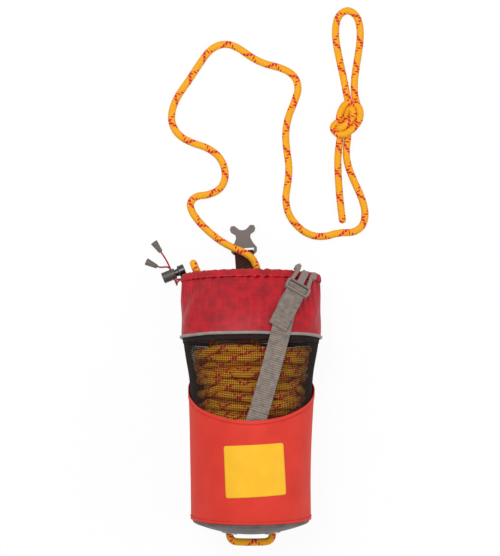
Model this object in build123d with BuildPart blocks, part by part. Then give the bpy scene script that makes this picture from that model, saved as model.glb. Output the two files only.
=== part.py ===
from build123d import *
import os
from math import asin, cos, pi, radians, sin, sqrt, tan

# Throw rope bag, stuffed, lying on its back with its rope drawn out of the mouth.
# Millimetres. +Y runs from the base to the mouth and +Z out of the bag's front.
# The origin is on the ground under the middle of the bag.

# ---- Rope, cord and webbing -------------------------------------------------
ROPE_D = 9.5
CORD_D = 2.2
WEB_WIDTH = 25.4
WEB_THICK = 1.5
ROPE_ON_GROUND = ROPE_D / 2 + 0.05

# ---- Bag body ---------------------------------------------------------------
# The body is a fabric tube. Each ring is an ellipse: the place of its centre
# along the bag, its half width, the height of its top, and how far it leans.
BASE_Y = -149
BASE_RADIUS = 77.5
PIPING_Y = 86
MOUTH_Y = 167
MOUTH_HALF_WIDTH = 90.5
MOUTH_TOP = 66
SINK = 5                       # how far the weight flattens the round underside
RINGS = [
    (BASE_Y, BASE_RADIUS, 2 * BASE_RADIUS - SINK, 0),
    (-104, 77.8, 151, 1),
    (-59, 79, 150.5, 2.5),
    (-14, 80.6, 147, 4),
    (36, 83.6, 135.5, 6),
    (PIPING_Y, 91.5, 118, 7.6),
    (128, 92, 98, 10),
    (MOUTH_Y, MOUTH_HALF_WIDTH, MOUTH_TOP, 14),
]

# Layers, as depths below the skin of the sleeve and the collar.
SLEEVE_WALL = 1.2
SKIRT_DEPTH = 1.5
SKIRT_WALL = 1.2
MESH_DEPTH = 3.0
MESH_WALL = 0.8
BINDING_DEPTH = 2.0
BINDING_WALL = 0.9
COLLAR_WALL = 0.9
ROPE_DEPTH = 4.5
PIPING_PROUD = 1.7
HEM_PROUD = 2.0
HEM_DEPTH = 3.0
LAYER_GAP = 0.3

# Edges along the bag.
SLEEVE_TOP_Y = 15              # at mid height; the cut leans back by SLEEVE_LEAN
SLEEVE_LEAN = -23.5
SLEEVE_TOP_Z = 75
BINDING_WIDTH = 10
PIPING_WIDTH = 3.4
HEM_WIDTH = 10
ROPE_FILL_Y = 78
ROPE_FOOT_Y = -108

# ---- Base -------------------------------------------------------------------
DOME_RADIUS = 192
DOME_TIP_Y = -168
DOME_EDGE_RADIUS = 70
PANEL_WALL = 1.2
SKIRT_LENGTH = 14
FOAM_THICK = 12
FOAM_GAP = 0.4
EYELET_X = 28
EYELET_BORE = 10.2
EYELET_BARREL = 13
EYELET_FLANGE = 21
EYELET_LIP = 1.4
LOOP_BOTTOM_Y = -178.5
LOOP_BEND = 11.4               # starts just outside the eyelets
KNOT_WIDTH = 70
KNOT_HEIGHT = 26
KNOT_LENGTH = 26

# ---- Name patch -------------------------------------------------------------
PATCH_X = 4.7
PATCH_Y = -80.3
PATCH_WIDTH = 76
PATCH_LENGTH = 66
PATCH_TURN = 3
PATCH_CORNER = 3

# ---- Closing strap and its buckle -------------------------------------------
STRAP_ROOT_X = 7.2
STRAP_ROOT_Y = -15
STRAP_HEADING = 17.6           # degrees from +Y towards +X
STRAP_ROLL = 7                 # degrees, right edge lower
STRAP_ROOT_LENGTH = 22
STRAP_START = 9              # where the webbing comes free of the bag
STRAP_SWING = 1.3              # room for the strap's end as it folds back
STRAP_GAP = 1.0                # under the strap, over the collar
FOLD_GAP = 2.9                 # under the fold that holds the buckle
BUCKLE_X = 60.5
BUCKLE_Y = 151
BUCKLE_HEADING = 27.5
BUCKLE_SLOPE = 41
BUCKLE_ROLL = 4
TAIL_LENGTH = 66
BAR_D = 3.4
WEB_PLAY = 0.2
BUCKLE_WIDTH = 33.5
FRAME_BACK = 10
FRAME_FRONT = 7
FRAME_UNDER = 2.0
FRAME_OVER = 3.2
PRONG_REACH = 37
GUIDE_REACH = 31
GUIDE_WIDTH = 9
ARM_WIDTH = 4.2
ARM_HEIGHT = 3.8

# ---- Tab and socket buckle at the back of the mouth -------------------------
SOCKET_X = -9
SOCKET_Y = 197
SOCKET_TURN = 4
SOCKET_HEIGHT = 8.8
SOCKET_LIFT = 0.3
SOCKET_CAVITY = 5.2
SOCKET_BAR_D = 3.8
TAB_REACH = 35.8

# ---- Cord lock --------------------------------------------------------------
LOCK_HEADING = 22              # of its axis, from +X towards +Y
LOCK_CORD_X = -103.8           # where the cords cross its axis
LOCK_CORD_Y = 168.3
LOCK_Z = 8.3
LOCK_D = 14.5
LOCK_BORE = 10.6
LOCK_STEM = 10.44
LOCK_WALL = 1.5
LOCK_BACK = 14                 # from the cords to the closed end
LOCK_FRONT = 4                 # from the cords to the rim
LOCK_TRAVEL = 4
CAP_D = 16
CAP_LENGTH = 9.2
SLOT_LENGTH = 2.6
SLOT_HEIGHT = 5.2
CORD_SPREAD = 1.2
SPRING_WIRE = 0.5
SPRING_RADIUS = 3.2
SPRING_TURNS = 4
TIP_NARROW = 5.4
TIP_WIDE = 9.8
TIP_LENGTH = 16.5

# ---- Rope routes ------------------------------------------------------------
# The free rope: out of the stuffed rope, through the mouth, over the socket
# buckle, and along the ground to the knot.
RUN_ROUTE = [
    (6, 70, 36),
    (3, 92, 34),
    (5, 115, 31),
    (9, 138, 28),
    (9.5, 158, 26.5),
    (8.5, 175, 26),
    (3, 189, 25.5),
    (-9, 197.5, 25),
    (-24, 203.5, 23.5),
    (-38, 211, 14),
    (-52, 221.5, 6.5),
    (-66, 234.5, ROPE_ON_GROUND),
    (-77.5, 249, ROPE_ON_GROUND),
    (-82, 262.5, ROPE_ON_GROUND),
    (-73.5, 272.5, ROPE_ON_GROUND),
    (-58.5, 273.5, ROPE_ON_GROUND),
    (-43, 279.5, ROPE_ON_GROUND),
    (-34.5, 292, ROPE_ON_GROUND),
    (-34, 308, ROPE_ON_GROUND),
    (-41.5, 324.5, ROPE_ON_GROUND),
    (-57, 336.5, ROPE_ON_GROUND),
    (-79, 343, ROPE_ON_GROUND),
    (-97.5, 353.5, ROPE_ON_GROUND),
    (-106.5, 371.5, ROPE_ON_GROUND),
    (-104, 391, ROPE_ON_GROUND),
    (-95, 409, ROPE_ON_GROUND),
    (-81, 428, ROPE_ON_GROUND),
    (-66.5, 451, ROPE_ON_GROUND),
    (-53, 468.5, ROPE_ON_GROUND),
    (-35, 475.5, ROPE_ON_GROUND),
    (-16.5, 469.5, ROPE_ON_GROUND),
    (1.5, 455.5, ROPE_ON_GROUND),
    (20.5, 447, ROPE_ON_GROUND),
    (41, 442.5, ROPE_ON_GROUND),
    (57.5, 433, ROPE_ON_GROUND),
    (64, 416, ROPE_ON_GROUND),
    (57.5, 397, ROPE_ON_GROUND),
    (49.5, 378, ROPE_ON_GROUND),
    (45.5, 357.5, ROPE_ON_GROUND),
    (47, 334.5, ROPE_ON_GROUND),
    (51, 311, ROPE_ON_GROUND),
    (48.8, 288.5, ROPE_ON_GROUND),
    (45.5, 269, ROPE_ON_GROUND),
    (48.5, 250.5, ROPE_ON_GROUND),
    (59.5, 233.5, ROPE_ON_GROUND),
    (76, 221, ROPE_ON_GROUND),
    (95.5, 217.5, ROPE_ON_GROUND),
    (116.5, 224, ROPE_ON_GROUND),
    (135.5, 223.5, ROPE_ON_GROUND),
    (148.5, 232, ROPE_ON_GROUND),
    (152.5, 249, ROPE_ON_GROUND),
    (147, 270.5, ROPE_ON_GROUND),
    (137, 291.5, ROPE_ON_GROUND),
    (129.5, 310, ROPE_ON_GROUND),
    (126, 325.5, 8),
    (128, 338.5, 11),
]
# The bit of the stuffed rope that pokes out at the left of the mouth.
MOUTH_ROUTE = [
    (-48, 70, 52),
    (-50, 96, 49),
    (-55, 121, 43),
    (-61, 144, 38.5),
    (-67, 163, 38),
    (-75.5, 182, 39.5),
    (-76.5, 184, 24),
    (-67.5, 164, 22),
    (-60, 143, 21),
    (-53, 119, 24),
    (-50.5, 94, 28),
    (-50, 70, 31),
]

# ---- Figure-eight knot in the doubled rope, and what leaves it --------------
EIGHT_X = 127
EIGHT_Y = 372.4
EIGHT_TURN = -9
EIGHT_HALF_LENGTH = 33
EIGHT_WIDTH = 35
EIGHT_HEIGHT = 24
EIGHT_ROUND = 5
BIGHT_ROUTE = [
    (126.9, 405.4, 11),
    (123.5, 425, 7.5),
    (118.5, 448.5, ROPE_ON_GROUND),
    (113.5, 472, ROPE_ON_GROUND),
    (111.5, 494, ROPE_ON_GROUND),
    (115.5, 512, ROPE_ON_GROUND),
    (128, 520.5, ROPE_ON_GROUND),
    (140.5, 512.5, ROPE_ON_GROUND),
    (145.5, 495, ROPE_ON_GROUND),
    (144.5, 473, ROPE_ON_GROUND),
    (140.5, 449, ROPE_ON_GROUND),
    (137, 426, 7.5),
    (137.4, 403.8, 11),
]
TAIL_ROUTE = [
    (116.1, 340.3, 11),
    (115, 324, 7.5),
    (115.5, 303, ROPE_ON_GROUND),
    (117, 281, ROPE_ON_GROUND),
    (119, 258, ROPE_ON_GROUND),
    (122, 236, ROPE_ON_GROUND),
]


# ---- Shared shapes ----------------------------------------------------------
def ring_plane(y, lean, height):
    """Plane across the bag, leaning towards the mouth at its top."""
    turn = radians(lean)
    return Plane(origin=(0, y, height), x_dir=(1, 0, 0), z_dir=(0, cos(turn), -sin(turn)))


def ring_at(y):
    """Half width, top height and lean of the bag's skin, on a smooth curve."""
    last = len(RINGS) - 1
    k = 1
    while k < last and y > RINGS[k][0]:
        k += 1
    before, first = RINGS[max(k - 2, 0)], RINGS[k - 1]
    second, after = RINGS[k], RINGS[min(k + 1, last)]
    span = second[0] - first[0]
    t = (y - first[0]) / span
    found = []
    for i in (1, 2, 3):
        leave = (second[i] - before[i]) / (second[0] - before[0]) * span
        arrive = (after[i] - first[i]) / (after[0] - first[0]) * span
        rise = second[i] - first[i]
        bend = t * (t - 1) * ((t - 1) * (leave - rise) + t * (arrive - rise))
        found.append(first[i] + t * rise + bend)
    return found


def cut_plane(y):
    """Plane of the ring whose centre is at y."""
    half_width, top, lean = ring_at(y)
    return ring_plane(y, lean, (top - SINK) / 2)


def front_height(x, y):
    """Height of the front of the bag's skin above the point x, y."""
    ring_y = y
    for _ in range(12):
        half_width, top, lean = ring_at(ring_y)
        centre = (top - SINK) / 2
        rise = (top + SINK) / 2 * sqrt(max(0.01, 1 - (x / half_width) ** 2))
        ring_y = y - rise * tan(radians(lean))
    return centre + rise


def bag_form(depth, floor):
    """The solid inside the bag's skin at one depth, flat underneath at floor."""
    with BuildPart() as form:
        for y, half_width, top, lean in RINGS:
            half_height = (top + SINK) / 2
            with BuildSketch(ring_plane(y, lean, (top - SINK) / 2)):
                Ellipse(half_width - depth, half_height / cos(radians(lean)) - depth)
        loft()
        split(bisect_by=Plane.XY.offset(floor), keep=Keep.TOP)
    return form.part


def bag_layer(depth, wall, floor, start=None, stop=None):
    """A fabric layer of the bag, cut to length by planes across it."""
    outside = bag_form(depth, floor)
    inside = bag_form(depth + wall, floor + wall)
    with BuildPart() as shell:
        add(outside)
        add(inside, mode=Mode.SUBTRACT)
        if start is not None:
            split(bisect_by=start, keep=Keep.TOP)
        if stop is not None:
            split(bisect_by=stop, keep=Keep.BOTTOM)
    return shell.part


def bend_radii(points):
    """The arc at each corner: 0.45 of the shorter run over tan of half the turn."""
    corners = [Vector(*p) for p in points]
    radii = []
    for before, here, after in zip(corners, corners[1:], corners[2:]):
        first = here - before
        second = after - here
        turn = first.get_angle(second)
        radii.append(0.45 * min(first.length, second.length) / tan(radians(turn) / 2))
    return radii


def cord_tube(points, diameter, name, radii=None):
    """A round cord along straight runs joined by tangent arcs."""
    radii = radii or bend_radii(points)
    with BuildPart() as tube:
        with BuildLine() as path:
            FilletPolyline(*points, radius=radii)
        route = path.wires()[0]
        with BuildSketch(Plane(origin=route @ 0, z_dir=route % 0)):
            Circle(diameter / 2)
        sweep(path=route)
    expected = route.length * pi * diameter**2 / 4
    print(f"{name}: length {route.length:.0f}, volume ratio {tube.part.volume / expected:.4f}")
    print("  radii in diameters:", " ".join(f"{r / diameter:.1f}" for r in radii))
    return tube.part


def tilted_axes(heading, slope, roll):
    """Unit vectors along, across and out of a strip that lies on the bag's front."""
    turn = radians(heading)
    dip = radians(slope)
    lean = radians(roll)
    along = Vector(cos(dip) * sin(turn), cos(dip) * cos(turn), -sin(dip))
    level = Vector(cos(turn), -sin(turn), 0)
    upright = level.cross(along)
    across = level * cos(lean) - upright * sin(lean)
    out = upright * cos(lean) + level * sin(lean)
    return along, across, out


def clear_height(origin, axes, distance, gap):
    """How far out a strip's middle lies so that its whole width clears the skin."""
    along, across, out = axes
    best = -1000
    for side in (-0.5, 0, 0.5):
        rise = 0
        for _ in range(20):
            point = origin + along * distance + across * (side * WEB_WIDTH) + out * rise
            rise += 0.7 * (front_height(point.X, point.Y) + gap - point.Z)
        best = max(best, rise)
    return best


os.makedirs("parts", exist_ok=True)

# ---- Base panel: a domed disc with a skirt ----------------------------------
BASE_Z = BASE_RADIUS - SINK
SKIRT_RADIUS = BASE_RADIUS - SKIRT_DEPTH
DOME_CENTRE_Y = DOME_TIP_Y + DOME_RADIUS
dome_spread = asin(DOME_EDGE_RADIUS / DOME_RADIUS)
SKIRT_TOP_Y = BASE_Y + SKIRT_LENGTH
base_axis = Axis((0, 0, BASE_Z), (0, 1, 0))
base_section = Plane(origin=(0, 0, BASE_Z), x_dir=(1, 0, 0), z_dir=(0, 0, 1))
eyelet_turn = EYELET_X / DOME_RADIUS


def dome_edge(depth):
    """The dome's edge in the base's section, at one depth below its surface."""
    radius = DOME_RADIUS - depth
    return (radius * sin(dome_spread), DOME_CENTRE_Y - radius * cos(dome_spread))


def dome_plane(side, lift):
    """Plane across an eyelet, facing out of the dome."""
    out = Vector(side * sin(eyelet_turn), -cos(eyelet_turn), 0)
    return Plane(
        origin=Vector(0, DOME_CENTRE_Y, BASE_Z) + out * (DOME_RADIUS + lift),
        x_dir=(0, 0, 1),
        z_dir=out,
    )


def leg_x(y):
    """Distance of a leg of the grab loop from the middle, on the eyelet's axis."""
    return (DOME_CENTRE_Y - y) * tan(eyelet_turn)


with BuildPart() as base_panel:
    with BuildSketch(base_section):
        with BuildLine():
            outer_dome = RadiusArc((0, DOME_TIP_Y), dome_edge(0), -DOME_RADIUS)
            Spline(dome_edge(0), (SKIRT_RADIUS, BASE_Y), tangents=(outer_dome % 1, (0, 1)))
            Line((SKIRT_RADIUS, BASE_Y), (SKIRT_RADIUS, SKIRT_TOP_Y))
            Line((SKIRT_RADIUS, SKIRT_TOP_Y), (SKIRT_RADIUS - SKIRT_WALL, SKIRT_TOP_Y))
            Line((SKIRT_RADIUS - SKIRT_WALL, SKIRT_TOP_Y), (SKIRT_RADIUS - SKIRT_WALL, BASE_Y))
            inner_dome = RadiusArc(
                (0, DOME_TIP_Y + PANEL_WALL),
                dome_edge(PANEL_WALL),
                -(DOME_RADIUS - PANEL_WALL),
            )
            Spline(
                dome_edge(PANEL_WALL),
                (SKIRT_RADIUS - SKIRT_WALL, BASE_Y),
                tangents=(inner_dome % 1, (0, 1)),
            )
            Line((0, DOME_TIP_Y + PANEL_WALL), (0, DOME_TIP_Y))
        make_face()
    revolve(axis=base_axis)
    split(bisect_by=Plane.XY.offset(SKIRT_DEPTH), keep=Keep.TOP)
    for side in (-1, 1):
        with BuildSketch(dome_plane(side, 3)):
            Circle(EYELET_BARREL / 2)
        extrude(amount=-8, mode=Mode.SUBTRACT)
base_panel.part.label = "base_panel"
export_step(base_panel.part, "parts/base_panel.step")

# ---- Foam disc inside the base ----------------------------------------------
FOAM_DEPTH = SKIRT_DEPTH + SKIRT_WALL + FOAM_GAP
FOAM_Y = BASE_Y + 1
with BuildPart() as base_foam:
    with BuildSketch(Plane(origin=(0, FOAM_Y, BASE_Z), x_dir=(1, 0, 0), z_dir=(0, 1, 0))):
        Circle(BASE_RADIUS - FOAM_DEPTH)
        foam_hole_x = leg_x(FOAM_Y + FOAM_THICK / 2)
        with Locations((-foam_hole_x, 0), (foam_hole_x, 0)):
            Circle(EYELET_BARREL / 2, mode=Mode.SUBTRACT)
    extrude(amount=FOAM_THICK)
    split(bisect_by=Plane.XY.offset(FOAM_DEPTH), keep=Keep.TOP)
base_foam.part.label = "base_foam"
export_step(base_foam.part, "parts/base_foam.step")

# ---- Two eyelets in the dome, one for each leg of the grab loop -------------
with BuildPart() as base_eyelets:
    for side in (-1, 1):
        with BuildSketch(dome_plane(side, 0.05)):
            Circle(EYELET_FLANGE / 2)
        extrude(amount=EYELET_LIP)
        with BuildSketch(dome_plane(side, 0.05)):
            Circle(EYELET_BARREL / 2 - 0.05)
        extrude(amount=-(PANEL_WALL + 0.2))
        with BuildSketch(dome_plane(side, -PANEL_WALL - 0.45)):
            Circle(EYELET_FLANGE / 2)
        extrude(amount=-EYELET_LIP)
        with BuildSketch(dome_plane(side, -PANEL_WALL - 0.1)):
            Circle(EYELET_BARREL / 2 - 0.05)
        extrude(amount=-0.6)
        with BuildSketch(dome_plane(side, 3)):
            Circle(EYELET_BORE / 2)
        extrude(amount=-10, mode=Mode.SUBTRACT)
base_eyelets.part.label = "base_eyelets"
export_step(base_eyelets.part, "parts/base_eyelets.step")

# ---- Fabric layers of the bag -----------------------------------------------
sleeve_cut = ring_plane(SLEEVE_TOP_Y, SLEEVE_LEAN, SLEEVE_TOP_Z)
with BuildPart() as lower_sleeve:
    add(bag_layer(0, SLEEVE_WALL, 0, stop=sleeve_cut))
lower_sleeve.part.label = "lower_sleeve"
export_step(lower_sleeve.part, "parts/lower_sleeve.step")

binding_top = PIPING_Y - PIPING_WIDTH / 2 - LAYER_GAP
mesh_foot = cut_plane(SKIRT_TOP_Y + LAYER_GAP)
with BuildPart() as mesh_wall:
    add(bag_layer(MESH_DEPTH, MESH_WALL, MESH_DEPTH, mesh_foot, cut_plane(binding_top)))
mesh_wall.part.label = "mesh_wall"
export_step(mesh_wall.part, "parts/mesh_wall.step")

binding_start = cut_plane(binding_top - BINDING_WIDTH)
with BuildPart() as mesh_binding:
    add(
        bag_layer(
            BINDING_DEPTH, BINDING_WALL, BINDING_DEPTH, binding_start, cut_plane(binding_top)
        )
    )
mesh_binding.part.label = "mesh_binding"
export_step(mesh_binding.part, "parts/mesh_binding.step")

piping_start = cut_plane(PIPING_Y - PIPING_WIDTH / 2)
piping_stop = cut_plane(PIPING_Y + PIPING_WIDTH / 2)
piping_wall = PIPING_PROUD + MESH_DEPTH + MESH_WALL
with BuildPart() as reflective_piping:
    add(bag_layer(-PIPING_PROUD, piping_wall, 0, piping_start, piping_stop))
reflective_piping.part.label = "reflective_piping"
export_step(reflective_piping.part, "parts/reflective_piping.step")

collar_start = cut_plane(PIPING_Y + PIPING_WIDTH / 2 + LAYER_GAP)
hem_y = MOUTH_Y - HEM_WIDTH
with BuildPart() as collar:
    add(bag_layer(0, COLLAR_WALL, 0, collar_start, cut_plane(hem_y - LAYER_GAP)))
collar.part.label = "collar"
export_step(collar.part, "parts/collar.step")

# The hem is a closed channel with the drawcord in it. The cord leaves it
# through a buttonhole at the left end of the mouth.
CHANNEL_WALL = 1.2
CHANNEL_GAP = 0.2
channel_start = cut_plane(hem_y + CHANNEL_WALL + 1.5)
channel_stop = cut_plane(MOUTH_Y - CHANNEL_WALL - 1.5)
channel_depth = -HEM_PROUD + CHANNEL_WALL
channel_wall = HEM_DEPTH + HEM_PROUD - 2 * CHANNEL_WALL
channel = bag_layer(channel_depth, channel_wall, CHANNEL_WALL, channel_start, channel_stop)
CORD_RING_Y = (hem_y + MOUTH_Y) / 2
RING_Z = (ring_at(CORD_RING_Y)[1] - SINK) / 2
HEM_LEFT_X = -(ring_at(CORD_RING_Y)[0] + HEM_PROUD)
with BuildPart() as collar_hem:
    add(bag_layer(-HEM_PROUD, HEM_PROUD + HEM_DEPTH, 0, start=cut_plane(hem_y)))
    add(channel, mode=Mode.SUBTRACT)
    with BuildSketch(Plane(origin=(HEM_LEFT_X, CORD_RING_Y, RING_Z), z_dir=(1, 0, 0))):
        SlotOverall(2 * CORD_SPREAD + CORD_D + 4, CORD_D + 2.4, rotation=90)
    extrude(amount=CHANNEL_WALL + 1, both=True, mode=Mode.SUBTRACT)
collar_hem.part.label = "collar_hem"
export_step(collar_hem.part, "parts/collar_hem.step")

ring_depth = channel_depth + CHANNEL_GAP
with BuildPart() as drawcord:
    add(
        bag_layer(
            ring_depth,
            CORD_D,
            CHANNEL_WALL + CHANNEL_GAP,
            cut_plane(CORD_RING_Y - CORD_D / 2),
            cut_plane(CORD_RING_Y + CORD_D / 2),
        )
    )
drawcord.part.label = "drawcord"
export_step(drawcord.part, "parts/drawcord.step")

# ---- Bare name patch on the sleeve ------------------------------------------
PATCH_LIFT = 0.7
PATCH_THICK = 0.55
patch_skin = bag_layer(-PATCH_LIFT, PATCH_THICK, 0)
with BuildPart() as name_patch:
    with BuildSketch(Plane.XY.offset(SLEEVE_TOP_Z)):
        with Locations(Location((PATCH_X, PATCH_Y), PATCH_TURN)):
            RectangleRounded(PATCH_WIDTH, PATCH_LENGTH, PATCH_CORNER)
    extrude(amount=2 * SLEEVE_TOP_Z)
    add(patch_skin, mode=Mode.INTERSECT)
name_patch.part.label = "name_patch"
export_step(name_patch.part, "parts/name_patch.step")

# ---- Stuffed rope -----------------------------------------------------------
stuffing = bag_form(ROPE_DEPTH, ROPE_DEPTH)
with BuildPart() as rope_stowed:
    add(stuffing)
    split(bisect_by=cut_plane(ROPE_FILL_Y), keep=Keep.BOTTOM)
    split(bisect_by=Plane.XZ.offset(-ROPE_FOOT_Y), keep=Keep.BOTTOM)
rope_stowed.part.label = "rope_stowed"
export_step(rope_stowed.part, "parts/rope_stowed.step")

# ---- Grab loop and the knot that holds it inside ----------------------------
knot_top_y = ROPE_FOOT_Y - LAYER_GAP
knot_foot_y = knot_top_y - KNOT_LENGTH
with BuildPart() as inner_knot:
    with BuildSketch(Plane(origin=(0, knot_foot_y, BASE_Z), x_dir=(1, 0, 0), z_dir=(0, 1, 0))):
        RectangleRounded(KNOT_WIDTH, KNOT_HEIGHT, KNOT_HEIGHT / 3)
    extrude(amount=KNOT_LENGTH)
    fillet(inner_knot.faces().sort_by(Axis.Y)[-1].edges(), KNOT_HEIGHT / 5)
inner_knot.part.label = "inner_knot"
export_step(inner_knot.part, "parts/inner_knot.step")


loop_corner = leg_x(LOOP_BOTTOM_Y)
loop_start = leg_x(knot_foot_y)
loop_route = [
    (-loop_start, knot_foot_y, BASE_Z),
    (-loop_corner, LOOP_BOTTOM_Y, BASE_Z),
    (loop_corner, LOOP_BOTTOM_Y, BASE_Z),
    (loop_start, knot_foot_y, BASE_Z),
]
with BuildPart() as grab_loop:
    add(cord_tube(loop_route, ROPE_D, "grab_loop", [LOOP_BEND, LOOP_BEND]))
    split(bisect_by=Plane.XZ.offset(-knot_foot_y), keep=Keep.TOP)
grab_loop.part.label = "grab_loop"
export_step(grab_loop.part, "parts/grab_loop.step")

# ---- Free rope, figure-eight knot, its loop and its tail --------------------
with BuildPart() as rope_run:
    add(cord_tube(RUN_ROUTE, ROPE_D, "rope_run"))
rope_run.part.label = "rope_run"
export_step(rope_run.part, "parts/rope_run.step")

with BuildPart() as rope_mouth_bight:
    add(cord_tube(MOUTH_ROUTE, ROPE_D, "rope_mouth_bight"))
rope_mouth_bight.part.label = "rope_mouth_bight"
export_step(rope_mouth_bight.part, "parts/rope_mouth_bight.step")

eight_turn = radians(EIGHT_TURN)
eight_plane = Plane(origin=(EIGHT_X, EIGHT_Y, 0), x_dir=(cos(eight_turn), sin(eight_turn), 0))
with BuildPart() as rope_knot:
    with BuildSketch(eight_plane):
        Rectangle(EIGHT_WIDTH, 2 * EIGHT_HALF_LENGTH)
    extrude(amount=EIGHT_HEIGHT)
    fillet(rope_knot.edges(), EIGHT_ROUND)
rope_knot.part.label = "rope_knot"
export_step(rope_knot.part, "parts/rope_knot.step")

with BuildPart() as rope_bight:
    add(cord_tube(BIGHT_ROUTE, ROPE_D, "rope_bight"))
rope_bight.part.label = "rope_bight"
export_step(rope_bight.part, "parts/rope_bight.step")

with BuildPart() as rope_tail:
    add(cord_tube(TAIL_ROUTE, ROPE_D, "rope_tail"))
rope_tail.part.label = "rope_tail"
export_step(rope_tail.part, "parts/rope_tail.step")

# ---- Closing strap: sewn root, run over the front, fold and tail ------------
strap_axes = tilted_axes(STRAP_HEADING, 0, STRAP_ROLL)
buckle_axes = tilted_axes(BUCKLE_HEADING, BUCKLE_SLOPE, BUCKLE_ROLL)
strap_along, strap_across, strap_out = strap_axes
buckle_along, buckle_across, buckle_out = buckle_axes
root_depth = (SLEEVE_WALL + MESH_DEPTH) / 2
root_height = front_height(STRAP_ROOT_X, STRAP_ROOT_Y) - root_depth
strap_root_point = Vector(STRAP_ROOT_X, STRAP_ROOT_Y, root_height)
bar_lift = FOLD_GAP + WEB_THICK + WEB_PLAY + BAR_D / 2
bar_point = Vector(BUCKLE_X, BUCKLE_Y, front_height(BUCKLE_X, BUCKLE_Y) + bar_lift)
fold_radius = BAR_D / 2 + WEB_PLAY + WEB_THICK / 2
strap_plane = Plane(origin=strap_root_point, x_dir=strap_along, z_dir=strap_across)
fold_plane = Plane(origin=bar_point, x_dir=buckle_along, z_dir=buckle_across)

root_skin = bag_layer(SLEEVE_WALL + 0.1, WEB_THICK, 0)
with BuildPart() as strap_root:
    turn = radians(STRAP_HEADING)
    root_plan = Plane(
        origin=(STRAP_ROOT_X, STRAP_ROOT_Y, SLEEVE_TOP_Z),
        x_dir=(cos(turn), -sin(turn), 0),
        z_dir=(0, 0, 1),
    )
    with BuildSketch(root_plan):
        with Locations((0, (STRAP_START - STRAP_SWING - STRAP_ROOT_LENGTH) / 2)):
            Rectangle(WEB_WIDTH, STRAP_ROOT_LENGTH + STRAP_START - STRAP_SWING)
    extrude(amount=2 * SLEEVE_TOP_Z)
    add(root_skin, mode=Mode.INTERSECT)
strap_root.part.label = "strap_root"
export_step(strap_root.part, "parts/strap_root.step")


def on_strap(distance, gap):
    """A point of the strap's middle line, in its own plane."""
    rise = clear_height(strap_root_point, strap_axes, distance, gap + WEB_THICK / 2)
    return (distance, rise)


def fold_to_strap(distance):
    """A point of the fold's lower leg, seen in the strap's plane."""
    point = bar_point + buckle_along * distance - buckle_out * fold_radius - strap_root_point
    return (point.dot(strap_along), point.dot(strap_out))


def on_tail(distance):
    """A point of the tail's middle line, in the fold's plane."""
    gap = PIPING_PROUD + 0.8 + WEB_THICK * 1.5 + 0.5
    return (distance, clear_height(bar_point, buckle_axes, distance, gap))


strap_points = [
    on_strap(STRAP_START, 0.4 - MESH_DEPTH),
    on_strap(30, 0.8 - BINDING_DEPTH),
    on_strap(66, 0.4),
    on_strap(94, STRAP_GAP),
    on_strap(114, PIPING_PROUD + 0.8),
    on_strap(133, STRAP_GAP + 0.6),
    on_strap(149, STRAP_GAP + 0.6),
    fold_to_strap(-15),
    fold_to_strap(-5),
]
tail_points = [
    on_tail(-TAIL_LENGTH),
    on_tail(-48),
    on_tail(-30),
    (-17, -0.85),
    (-9.5, -0.85),
    (-5.5, -0.7),
    (-2.2, fold_radius),
    (0, fold_radius),
]
with BuildPart() as closing_strap:
    with BuildSketch(strap_plane):
        with BuildLine():
            FilletPolyline(*strap_points, radius=8)
        trace(line_width=WEB_THICK)
    extrude(amount=WEB_WIDTH / 2, both=True)
    with BuildSketch(fold_plane):
        with BuildLine():
            FilletPolyline(*tail_points, radius=[20, 20, 20, 2, 1.5, 1.2])
            CenterArc((0, 0), fold_radius, -90, 180)
            Line((0, -fold_radius), (-18, -fold_radius))
        trace(line_width=WEB_THICK)
    extrude(amount=WEB_WIDTH / 2, both=True)
closing_strap.part.label = "closing_strap"
export_step(closing_strap.part, "parts/closing_strap.step")

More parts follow.
